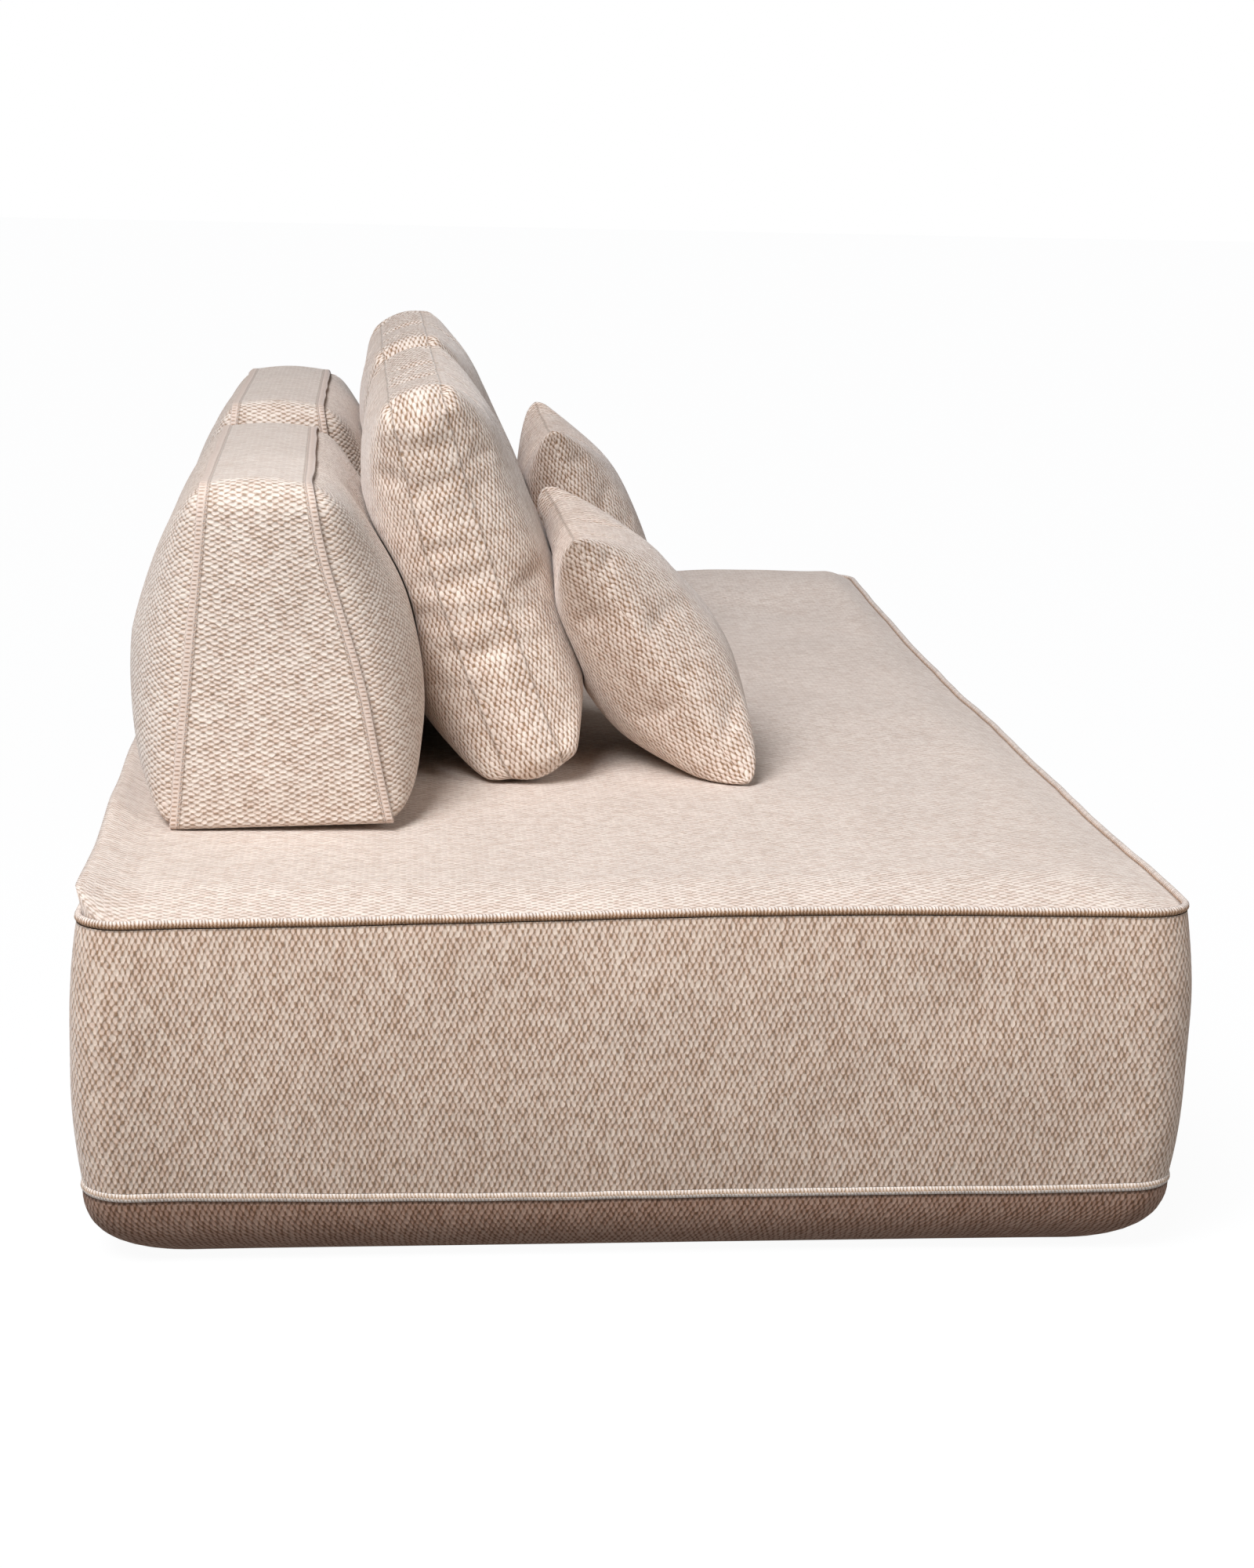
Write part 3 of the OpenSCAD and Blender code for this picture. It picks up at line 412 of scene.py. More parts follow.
def strap_weave(name, dark, pale):
    """A plain, close weave, as in webbing, dust cloth and zip tape."""
    thread = 0.0022
    paint = Paint(name)
    x, y, z = paint.parts(paint.place())
    check = (x / thread * math.tau).maths("SINE") * (y / thread * math.tau).maths("SINE")
    wear = paint.grain(paint.place(), 0.05, 3.0)
    colour = paint.blend(check.steps(-0.8, 0.8) * 0.6 + wear * 0.3, dark, pale)
    return paint.finish(colour, 0.8, check, 0.0004, 0.8)


def moulded(name, colour, roughness, grain_size=0.0009, depth=0.0001, **sockets):
    """Plastic, rubber, paint or plated metal with a fine skin and a little wear."""
    paint = Paint(name)
    place = paint.place()
    skin = paint.grain(place, grain_size, 2.0)
    wear = paint.grain(place, 0.03, 4.0, 0.7)
    pale = tuple(min(1, c * 1.35 + 0.015) for c in colour)
    tone = paint.blend(wear.steps(0.45, 0.75), colour, pale)
    return paint.finish(tone, roughness + wear * 0.15, skin, depth, 0.7, **sockets)


# Meshes

class Cover:
    """Grids of points that are sewn into one mesh, with the cut of the cloth in a UV layer."""

    def __init__(self):
        self.points, self.faces, self.cloth, self.seam = [], [], [], []
        self.count = 0

    def grid(self, points, cloth, seam=None, flip=False):
        """points, cloth and seam are arrays of rows by columns."""
        rows, columns = points.shape[:2]
        index = np.arange(rows * columns).reshape(rows, columns) + self.count
        corners = [index[:-1, :-1], index[:-1, 1:], index[1:, 1:], index[1:, :-1]]
        if flip:
            corners.reverse()
        quads = np.stack([c.ravel() for c in corners], 1)
        seam = np.zeros((rows, columns, 2)) + 1.0 if seam is None else seam
        self.points.append(points.reshape(-1, 3))
        self.faces.append(quads)
        self.cloth.append(cloth.reshape(-1, 2)[quads.ravel() - self.count])
        self.seam.append(seam.reshape(-1, 2)[quads.ravel() - self.count])
        self.count += rows * columns

    def build(self, name, weld=True):
        mesh = bpy.data.meshes.new(name)
        faces = np.concatenate(self.faces)
        mesh.from_pydata(np.concatenate(self.points).tolist(), [], faces.tolist())
        for layer, values in (("cloth", self.cloth), ("seam", self.seam)):
            uv = mesh.uv_layers.new(name=layer)
            uv.data.foreach_set("uv", np.concatenate(values).astype(np.float32).ravel())
        if weld:
            net = bmesh.new()
            net.from_mesh(mesh)
            bmesh.ops.remove_doubles(net, verts=net.verts, dist=1e-5)
            net.to_mesh(mesh)
            net.free()
        mesh.polygons.foreach_set("use_smooth", np.ones(len(mesh.polygons), bool))
        piece = bpy.data.objects.new(name, mesh)
        bpy.context.scene.collection.objects.link(piece)
        return piece


def points_of(piece):
    found = np.zeros(len(piece.data.vertices) * 3, np.float32)
    piece.data.vertices.foreach_get("co", found)
    return found.reshape(-1, 3).astype(float)


def move_points(piece, points):
    piece.data.vertices.foreach_set("co", np.asarray(points, np.float32).ravel())
    piece.data.update()


def dressed(piece, fabric, slot, body, *nodes, fill=None):
    """Gives a piece its fabric, and says which solids it stands for and what it rides on; fill is not used."""
    piece.data.materials.append(fabric)
    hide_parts(*nodes)
    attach(piece, body)


def rise(value, low, high):
    """0 below low, 1 above high, and a smooth rise between them."""
    t = np.clip((value - low) / (high - low), 0, 1)
    return t * t * (3 - 2 * t)


def slope(value, half, run):
    """0 at both ends of a width and 1 beyond a run from them, along a quarter of a wave."""
    return np.sin(np.clip((half - np.abs(value)) / run, 0, 1) * math.pi / 2)


def hump(t):
    """0 at 0, 1 at 1, and dying away after it."""
    return t * np.exp(1 - t)


def bell(value, width):
    return np.exp(-(value / width) ** 2)


def paired(first, second):
    """Two arrays as the two values of each point of a grid."""
    return np.stack(np.broadcast_arrays(first, second), -1)


def at_level(flat, z):
    """A flat outline lifted to a height."""
    return np.concatenate([flat, np.full((len(flat), 1), z)], 1)


def ripple(a, b, size, seed):
    """Slow waves about a size long, between -1 and 1, the same at each run."""
    rolls = np.random.default_rng(seed)
    total = 0
    for _ in range(7):
        angle, phase, scale = rolls.uniform(0, math.tau), rolls.uniform(0, math.tau), rolls.uniform(0.7, 1.5)
        total = total + np.sin((a * math.cos(angle) + b * math.sin(angle)) * math.tau * scale / size + phase)
    return total / 4


def drawn_in(points, half, draw):
    """Draws the sides of a flat outline in between its corners."""
    x, y = points[..., 0], points[..., 1]
    hx, hy = half
    return np.stack([
        x * (1 - draw / hx * (1 - np.clip(np.abs(y) / hy, 0, 1) ** 4)),
        y * (1 - draw / hy * (1 - np.clip(np.abs(x) / hx, 0, 1) ** 4))], -1)


def rounded(square, half, radii):
    """Turns the square corners of a grid of places into round ones: radii for the upper and the lower half."""
    x, y = square[..., 0], square[..., 1]
    r = np.where(y > 0, radii[0], radii[1])
    a = np.clip((np.abs(x) - half[0] + r) / r, 0, 1)
    b = np.clip((np.abs(y) - half[1] + r) / r, 0, 1)
    return np.stack([
        np.where(a > 0, np.sign(x) * (half[0] - r + r * a * np.sqrt(1 - b * b / 2)), x),
        np.where(b > 0, np.sign(y) * (half[1] - r + r * b * np.sqrt(1 - a * a / 2)), y)], -1)


def graded(half, step, edge):
    """Places from -half to half, closer together near both ends."""
    count = max(6, int(round(2 * half / step)))
    t = np.linspace(-1, 1, count + 1)
    eased = np.sin(t * math.pi / 2)
    return half * ((1 - edge) * t + edge * eased)


def lattice(half, steps, edges):
    """A flat grid of places, closer together near its edges."""
    return np.stack(np.meshgrid(*(graded(half[k], steps[k], edges[k]) for k in (0, 1))), -1)


def way_in(square, half):
    """How far each place lies in from the nearest edge."""
    return np.minimum(*(half[k] - np.abs(square[..., k]) for k in (0, 1)))


def ring(half, radius, step, arcs=9):
    """Points round a rounded rectangle, against the clock from its +X +Y corner, closed by its first point."""
    hx, hy = half
    aheads = np.array([(-1, 0), (0, -1), (1, 0), (0, 1)])
    found = []
    for quarter, (sx, sy) in enumerate(((1, 1), (-1, 1), (-1, -1), (1, -1))):
        turn = (quarter + np.linspace(0, 1, arcs)) * math.pi / 2
        arc = np.stack([sx * (hx - radius) + radius * np.cos(turn), sy * (hy - radius) + radius * np.sin(turn)], -1)
        run = 2 * ((hx if quarter % 2 == 0 else hy) - radius)
        count = max(2, int(round(RING_RUNS[quarter % 2] / step)))
        found += [arc, arc[-1] + aheads[quarter] * (np.arange(1, count) / count * run)[:, None]]
    found = np.concatenate(found)
    return np.concatenate([found, found[:1]])


# The base

base_low, base_high = reach("top_piping")
BASE_HALF = np.array([base_high[0], base_high[1]])
RING_RUNS = (2 * BASE_HALF[0], 2 * BASE_HALF[1])
CORD = base_high[2] - base_low[2]
TOP_CORD = (base_high[2] + base_low[2]) / 2
LOW_CORD = middle_of("lower_piping")[2]
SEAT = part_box("seat_top_panel")[1].z
SEAM_GAP = 0.0002  # Clearance between a panel and what it is sewn to
HEM = CORD + SEAM_GAP
LOWER_CORD_DROP = 0.0003  # How far the lower cord hangs below its solid's middle


def base_ring(inset, radius, draw):
    base = bpy.context.scene.sofa_base
    half = BASE_HALF - inset
    return drawn_in(ring(half, radius, base.step), half, draw)


def settled(points):
    """How the covers of the base have settled: a worn near rear corner, a slack front and cords that wander."""
    base = bpy.context.scene.sofa_base
    x, y, z = points[..., 0], points[..., 1], points[..., 2]
    height = rise(z, LOW_CORD + 0.02, TOP_CORD)
    foot = bell(z - LOW_CORD, 0.05)
    between = np.clip((z - LOW_CORD) / (TOP_CORD - LOW_CORD), 0, 1)

    # The cords wander, and the seat only near its edge
    past = np.maximum(np.abs(x) / BASE_HALF[0] - 0.93, 0) + np.maximum(np.abs(y) / BASE_HALF[1] - 0.86, 0)
    edge = rise(past, 0, 0.1)
    up = (bell(z - TOP_CORD, 0.05) * edge + foot) * (ripple(x, y, 0.45, 3) * 0.0014 + ripple(x, y, 0.13, 4) * 0.0005)

    # The near rear corner is worn, and level enough inside for a backrest to slide over it
    inside = rise(x, -1.09, -0.95)
    wear_and_shade = rise(y, -0.3, 0.55) * (1 - inside) + rise(y, -0.45, 0.3) * inside
    up -= height * base.dip * wear_and_shade * rise(-x, 0.4, 1.0)

    # The far front corner stands full, except where the loose cushions travel
    full = rise(x, 0.1, 0.95) * rise(-y, 0.0, 0.35) * np.maximum(rise(x, 0.64, 0.95), rise(-y, 0.47, 0.59))
    up += height * base.fullness * full

    up -= foot * base.belly * rise(-x, 0.9, 1.1) * (1 - (y / BASE_HALF[1]) ** 2)
    flare = base.ear * rise(-y, 0.5, 0.6) * bell(x + 0.95, 0.11) * (0.4 + 0.6 * np.sin(np.pi * between))
    slack = base.slack * rise(-y, 0.42, 0.6) * rise(x, -0.4, 1.0) * height
    return np.stack([x, y - flare + slack, z + up], -1)


def run_along(points):
    """Distance along a row of points, from its first one."""
    steps = np.linalg.norm(np.diff(points, axis=0), axis=1)
    return np.concatenate([[0], np.cumsum(steps)])


class SOFA_OT_seat_cover(bpy.types.Operator):
    """Lays the cover over the seat, down to the upper cord"""
    bl_idname = "sofa.seat_cover"
    bl_label = "Seat cover"

    def execute(self, context):
        base = context.scene.sofa_base
        half = BASE_HALF - HEM
        radius = base.corner - HEM
        square = lattice(half, (base.step, base.step), (0.25, 0.3))
        x, y = square[..., 0], square[..., 1]
        flat = drawn_in(rounded(square, half, (radius, radius)), half, base.draw)

        # The rim slopes up to the flat top, more steeply at the far end and along the rear
        run = base.rim * (1 - 0.45 * rise(x, 0.0, 1.0))
        rear_run = run + (base.rear_rim - run) * rise(y, -0.1, 0.3)
        rim = slope(x, half[0], run) * slope(y, half[1], rear_run)
        soft = ripple(x, y, 0.5, 1) * 0.0016 + ripple(x, y, 0.17, 2) * 0.0007 - 0.0012
        height = TOP_CORD + rim * (SEAT - TOP_CORD + soft)

        # Behind the backrests it stands up in a shoulder that leans out over the cord
        to_rear = (half[1] - y) / base.shoulder_run
        to_end = slope(x, half[0], 0.040)
        height += base.shoulder * hump(to_rear) * to_end * (1 + 0.2 * ripple(x, y, 0.3, 5))
        flat[..., 1] += base.overhang * hump(to_rear / 1.5) * to_end

        cover = Cover()
        cover.grid(settled(np.concatenate([flat, height[..., None]], -1)), square, paired(way_in(square, half), x))
        piece = cover.build("seat_cover")
        weave = chunky_weave(
            "seat weave", warm=0.25, shade=(1.0, 1.0, 1.0), contrast=0.65, relief=0.8, seam=0.004, seam_depth_and_shade=0.5,
            drift=(0.3, 0.3))
        dressed(piece, weave, "seat_fabric", "base", "seat_top_panel", "seat_wadding", "seat_foam", fill=0.9)
        return {"FINISHED"}


class SOFA_OT_side_covers(bpy.types.Operator):
    """Wraps the side panel and the tucked lower panel round the base"""
    bl_idname = "sofa.side_covers"
    bl_label = "Side covers"

    def execute(self, context):
        base = context.scene.sofa_base
        low, high = (v[2] for v in reach("side_band"))
        levels = np.linspace(0, 1, 28)
        heights = (low + levels * (high - low))[:, None]
        rows = []
        for level, z in zip(levels, heights[:, 0]):
            inset = base.edge - base.bulge * (1 - abs(2 * level - 1) ** 2.6)
            rows.append(at_level(base_ring(inset, base.corner - min(inset, HEM), base.draw), z))
        points = np.array(rows)
        along = run_along(points[0])
        out = points[..., :2] / np.linalg.norm(points[..., :2], axis=-1, keepdims=True)
        soft = ripple(along[None], heights * 1.6, 0.34, 5) * 0.0022 + ripple(along[None], heights, 0.12, 6) * 0.0007
        points[..., :2] += out * (soft * np.sin(np.pi * levels)[:, None])[..., None]
        cover = Cover()
        cover.grid(settled(points), paired(along[None], heights), paired(high - heights, along[None]), flip=True)
        side = cover.build("side_cover")
        # Painted shade: this copy is a little darker and warmer than the seat's, for the lesser light on the upright
        # side
        weave = chunky_weave(
            "side weave", warm=0.9, shade=(0.955, 0.935, 0.90), contrast=0.95, relief=1.0, seam=0.0025, seam_depth_and_shade=0.4,
            drift=(0.14, 0.4))
        dressed(side, weave, "side_fabric", "base", "side_band", "edge_foam")

        low, high = (v[2] for v in reach("lower_band"))
        turns = np.linspace(0, 1, 15) * math.pi / 2
        rows = []
        for turn in turns:
            back = 1 - math.cos(turn)
            flat = base_ring(base.edge + base.tuck * back, base.corner - base.edge + base.tuck_round * back,
                             base.draw * (1 - back))
            rows.append(at_level(flat, high - (high - low) * math.sin(turn)))
        drop = run_along(paired(base.tuck * np.cos(turns), (high - low) * np.sin(turns)))[:, None]
        cover = Cover()
        cover.grid(settled(np.array(rows)), paired(along[None], -drop), paired(drop, along[None]))
        lower = cover.build("lower_cover")
        # Painted shade: this copy is darkened to under half and warmed, for the shade under the base where the panel
        # tucks in
        weave = chunky_weave(
            "lower weave", warm=1.0, shade=(0.46, 0.37, 0.33), contrast=1.0, relief=1.0, seam=0.004, seam_depth_and_shade=0.6,
            sheen=0.05)
        dressed(lower, weave, "lower_fabric", "base", "lower_band", "lower_edge_foam")
        return {"FINISHED"}


class SOFA_OT_cords(bpy.types.Operator):
    """Sews the two covered cords round the base"""
    bl_idname = "sofa.cords"
    bl_label = "Cords"

    def execute(self, context):
        base = context.scene.sofa_base
        turns = np.linspace(0, math.tau, 13)
        # Each cord: name, solid, height, radius, colour between its ribs, and how far down its painted pale top
        # reaches
        cords = (("upper_cord", "top_piping", TOP_CORD, CORD / 2, (0.33, 0.17, 0.08), -0.1),
                 ("lower_cord", "lower_piping", LOW_CORD - LOWER_CORD_DROP, CORD / 2 + base.swollen,
                  (0.52, 0.34, 0.20), -0.3))
        for name, node, level, r, gap, dark in cords:
            rows = []
            for turn in turns:
                flat = base_ring(r - r * math.cos(turn), base.corner - r + r * math.cos(turn), base.draw)
                rows.append(at_level(flat, level + r * math.sin(turn)))
            cover = Cover()
            cover.grid(settled(np.array(rows)), paired(run_along(rows[0])[None], (turns * r)[:, None]))
            cord = cover.build(name)
            weave = cord_fabric(name.replace("_", " ") + " weave", gap, dark)
            dressed(cord, weave, "piping", "base", node)
        return {"FINISHED"}


# The backrests

def crowned(shares, turn, blend=3.5):
    """Height of a stuffed panel from its shares of the way in along both directions, 1 in the middle."""
    rises = [np.maximum(1e-4, 1 - (1 - np.clip(s, 0, 1)) ** 2) ** turn for s in shares]
    return (rises[0] ** -blend + rises[1] ** -blend - 1) ** (-1 / blend)


def measured(points):
    """The cut of a grid of points: how far each lies from the middle, measured along the cloth."""
    across = np.linalg.norm(np.diff(points, axis=1), axis=2)
    along = np.linalg.norm(np.diff(points, axis=0), axis=2)
    u = np.concatenate([np.zeros((len(points), 1)), np.cumsum(across, 1)], 1)
    v = np.concatenate([np.zeros((1, points.shape[1])), np.cumsum(along, 0)], 0)
    u -= u[:, [u.shape[1] // 2]]
    v -= v[[len(v) // 2]]
    return np.stack([u, v], -1)


def outward(line):
    """Directions that point out of a closed loop that runs against the clock."""
    ahead = np.roll(line[:-1], -1, 0) - np.roll(line[:-1], 1, 0)
    ahead = np.concatenate([ahead, ahead[:1]])
    ahead /= np.linalg.norm(ahead, axis=1, keepdims=True)
    return np.stack([ahead[:, 1], -ahead[:, 0]], -1)


class Backrest:
    """The place, the seams and the covers of one loose backrest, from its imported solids."""

    # A flange's section: shares of its thickness inwards and of its width outwards, then the run of its cloth
    flange_section = ((0, 0, 0), (0.02, 0.45, 0.45), (0.12, 0.9, 0.9), (0.5, 1.0, 1.2), (0.88, 0.9, 1.5),
                      (1, 0.5, 1.9), (1, 0, 2.4))

    def __init__(self, side):
        self.own = bpy.context.scene.sofa_backrest
        self.side, self.name, self.seed = side, "backrest_" + side, 2 * SIDES.index(side)
        self.low, self.high = reach(self.name + "_gusset")
        self.middle = (self.low + self.high) / 2
        self.half = (self.high - self.low)[[0, 2]] / 2
        front, rear = reach(self.name + "_front_flange"), reach(self.name + "_rear_flange")
        self.front_lean = front[1][1] - front[0][1] - self.own.flange_width
        self.rear_lean = rear[1][1] - rear[0][1] - self.own.flange_width

    def seam(self, z, front):
        """Where the front or the rear seam stands at a height."""
        t = (z - self.low[2]) / (2 * self.half[1])
        return self.low[1] + self.front_lean * t if front else self.high[1] - self.rear_lean * t

    def placed(self, flat, y):
        return np.stack([self.middle[0] + flat[..., 0], y, self.middle[2] + flat[..., 1]], -1)

    def outline(self):
        """The outline from the front, rounder at the top than at the foot."""
        own, (half, hz) = self.own, self.half
        starts = ((half, hz - own.corner), (-(half - own.corner), hz), (-half, -(hz - own.foot)),
                  (half - own.foot, -hz))
        found = []
        for quarter, (sx, sy) in enumerate(((1, 1), (-1, 1), (-1, -1), (1, -1))):
            r = own.corner if sy > 0 else own.foot
            turn = (quarter + np.linspace(0, 1, 8)) * math.pi / 2
            arc = np.stack([sx * (half - r) + r * np.cos(turn), sy * (hz - r) + r * np.sin(turn)], -1)
            gap = np.array(starts[(quarter + 1) % 4]) - arc[-1]
            count = max(2, int(round(np.linalg.norm(gap) / 0.01)))
            found += [arc, arc[-1] + gap * (np.arange(1, count) / count)[:, None]]
        found = np.concatenate(found)
        return np.concatenate([found, found[:1]])

    def slumped(self, points):
        """How the backrest has settled on the seat."""
        own = self.own
        x, y, z = points[..., 0], points[..., 1], points[..., 2]
        up = np.clip((z - self.low[2]) / (self.high[2] - self.low[2]), 0, 1)
        along = np.clip((x - self.low[0]) / (self.high[0] - self.low[0]), 0, 1)
        front_y, rear_y = self.seam(z, True), self.seam(z, False)
        front = np.clip((rear_y - y) / (rear_y - front_y), 0, 1)
        shift = front * (0.005 * bell(up - 0.8, 0.15) - own.belly * bell(up - 0.4, 0.2))
        if self.side == "right":
            lift = up ** 2 * (-0.001 - 0.010 * along)
            lift = lift - own.droop * (1 - up) ** 2 * (1 - 0.8 * front) * (1 - rise(along, 0.1, 0.7))
            shift = shift + 0.008 * up * along
        else:
            lift = up ** 2 * (0.012 - 0.012 * along)
        return np.stack([x, y + shift, z + lift], -1)

    def panel(self, front, which):
        """The bulging cover of the front or the rear."""
        own = self.own
        way = -1 if front else 1
        box = reach(f"{self.name}_{which}_panel")
        crown = abs((box[0][1] if front else box[1][1]) - self.seam(self.middle[2], front))
        inner = self.half - own.flange_thickness - SEAM_GAP
        square = lattice(inner, (0.009, 0.008), (0.3, 0.5))
        x, y = square[..., 0], square[..., 1]
        flat = rounded(square, inner, (own.corner, own.foot))
        bulge = crown * crowned([(inner[k] - np.abs(square[..., k])) / inner[1] for k in (0, 1)], 0.5)
        if not front:
            bulge = bulge * (1 - own.taper * np.clip(y / inner[1], 0, 1))
        soft = ripple(x, y, 0.22, 20 + self.seed + front) * 0.003 * np.clip(bulge / crown, 0, 1)
        stands = self.seam(self.middle[2] + flat[..., 1], front) + way * (SEAM_GAP + bulge + soft)
        points = self.placed(flat, stands)
        cover = Cover()
        cover.grid(self.slumped(points), measured(points)[..., ::-1], paired(way_in(square, inner), x),
                   flip=not front)
        return cover.build(f"{self.name}_{which}_cover")

    def flange(self, front, which):
        """The doubled edge that is sewn round the front or the rear."""
        own = self.own
        way = -1 if front else 1
        line = self.outline()
        wave = ripple(line[:, 0], line[:, 1], 0.2, 30 + self.seed + front) * 0.0015
        rows = []
        for inwards, out, run in self.flange_section:
            moved = line - outward(line) * own.flange_thickness * inwards
            stands = self.seam(self.middle[2] + moved[:, 1], front) + way * (own.flange_width + wave) * out
            rows.append(self.placed(moved, stands))
        runs = np.array([run for inwards, out, run in self.flange_section]) * own.flange_width
        cover = Cover()
        cover.grid(self.slumped(np.array(rows)), paired(run_along(rows[0])[None], runs[:, None]), flip=front)
        return cover.build(f"{self.name}_{which}_edge")

    def strip(self):
        """The strip between the two seams, flat along the seat and where the other backrest slides past."""
        line = self.outline()
        inner_end = 1 if self.side == "right" else -1
        free = rise(line[:, 1], -self.half[1], -self.half[1] + 0.06)
        free = free * (1 - rise(line[:, 0] * inner_end, self.half[0] - 0.045, self.half[0] - 0.01))
        front_y, rear_y = (self.seam(self.middle[2] + line[:, 1], front) for front in (True, False))
        rows = []
        for depth in np.linspace(0, 1, 17):
            pushed = line + outward(line) * (self.own.bulge * math.sin(math.pi * depth) * free)[:, None]
            rows.append(self.placed(pushed, front_y * (1 - depth) + rear_y * depth))
        points = np.array(rows)
        along = run_along(rows[0])[None]
        y, front_y, rear_y = points[..., 1], points[:1, :, 1], points[-1:, :, 1]
        cover = Cover()
        cover.grid(self.slumped(points), paired(along, y - (front_y + rear_y) / 2),
                   paired(np.minimum(y - front_y, rear_y - y), along))
        return cover.build(self.name + "_strip")


class SOFA_OT_backrests(bpy.types.Operator):
    """Upholsters both loose backrests: bulging panels, the strip between them and the sewn flanges"""
    bl_idname = "sofa.backrests"
    bl_label = "Backrests"

    def execute(self, context):
        # Painted light: these copies are made a little lighter for the light on the backrests
        panel_weave = chunky_weave(
            "backrest weave", warm=0.4, shade=(1.07, 1.08, 1.08), contrast=0.85, relief=1.0, seam=0.0035,
            seam_depth_and_shade=0.6)
        strip_weave = chunky_weave(
            "backrest strip weave", warm=0.4, shade=(1.06, 1.08, 1.085), contrast=0.85, relief=1.0, seam=0.0025,
            seam_depth_and_shade=0.5, sheen=0.5)
        flange_weave = flange_fabric("flange weave")
        for side in SIDES:
            backrest = Backrest(side)
            name = backrest.name
            for front, which in ((True, "front"), (False, "rear")):
                panel = backrest.panel(front, which)
                dressed(panel, panel_weave, "backrest_fabric", name,
                        f"{name}_{which}_panel", *([name + "_foam"] if front else []), fill=0.85)

                flange = backrest.flange(front, which)
                dressed(flange, flange_weave, "backrest_trim", name, f"{name}_{which}_flange")

            strip = backrest.strip()
            dressed(strip, strip_weave, "backrest_trim", name, name + "_gusset")
        return {"FINISHED"}


# The cushions

def filled(piece, held):
    """Lets the filling press the cloth out, and keeps each point near where it was cut."""
    cushion = bpy.context.scene.sofa_cushion
    rest = points_of(piece)
    scene = bpy.context.scene
    group = piece.vertex_groups.new(name="held")
    for index in np.flatnonzero(held):
        group.add([int(index)], float(held[index]), "REPLACE")
    cloth = piece.modifiers.new("Filling", "CLOTH")
    for key, value in {"quality": 6, "mass": 0.25, "tension_stiffness": 12, "compression_stiffness": 12,
                       "shear_stiffness": 4, "bending_stiffness": 0.4, "shrink_min": -0.03, "use_pressure": True,
                       "uniform_pressure_force": cushion.pressure, "vertex_group_mass": "held"}.items():
        setattr(cloth.settings, key, value)
    cloth.settings.effector_weights.gravity = 0
    cloth.point_cache.frame_end = cushion.frames
    for step in range(1, cushion.frames + 1):
        scene.frame_set(step)
    moved = points_of(piece.evaluated_get(bpy.context.evaluated_depsgraph_get())) - rest
    piece.modifiers.remove(cloth)
    piece.vertex_groups.remove(group)
    scene.frame_set(1)
    far = np.linalg.norm(moved, axis=1, keepdims=True)
    return rest + moved * (cushion.swell * np.tanh(far / cushion.swell) / np.maximum(far, 1e-9))


def leant(points, place, lean, roll):
    """Rolls an upright cushion, leans it back and puts it in its place."""
    turn = Matrix.Rotation(-lean, 3, "X") @ Matrix.Rotation(-roll, 3, "Y")
    return points @ np.array(turn).T + place


def kept_clear(points, *behind):
    """Presses a cushion flat where it rests on the seat and on what stands behind it."""
    over_seat, before, start = 0.0015, 0.002, -2
    points[:, 2] = np.maximum(points[:, 2], SEAT + over_seat)
    for piece in behind:
        tree = BVHTree.FromObject(piece, bpy.context.evaluated_depsgraph_get())
        for point in points:
            hit = tree.ray_cast(Vector((point[0], start, point[2])), Vector((0, 1, 0)))[0]
            if hit is not None:
                point[1] = min(point[1], hit.y - before)
    return points


def smooth_over(piece):
    extra = piece.modifiers.new("Smooth", "SUBSURF")
    extra.levels = extra.render_levels = 1


def stuffed_panels(cover, half, *, radii, draw, depth, crowns, turn, sags, step, seed):
    """Adds the front and the rear panel of an upright cushion to a cover, and gives back their outline."""
    square = lattice(half, (step, step), (0.45, 0.45))
    x, y = square[..., 0], square[..., 1]
    flat = drawn_in(rounded(square, half, radii), half, draw)
    stuffed = crowned([(half[k] - np.abs(square[..., k])) / min(half) for k in (0, 1)], turn)
    inwards = way_in(square, half)
    for way, crown, sag in zip((-1, 1), crowns, sags):
        soft = 1 + 0.06 * ripple(x, y, 0.2, seed + way)
        bulge = crown * stuffed * (1 - sag * y / half[1]) * soft * (inwards > 1e-6)
        points = np.stack([flat[..., 0], way * (depth + bulge), flat[..., 1]], -1)
        cover.grid(points, measured(points) + (0.3 * way, 0), paired(inwards, x), flip=way > 0)
    return np.concatenate([flat[0], flat[1:, -1], flat[-1, -2::-1], flat[-2::-1, 0]])


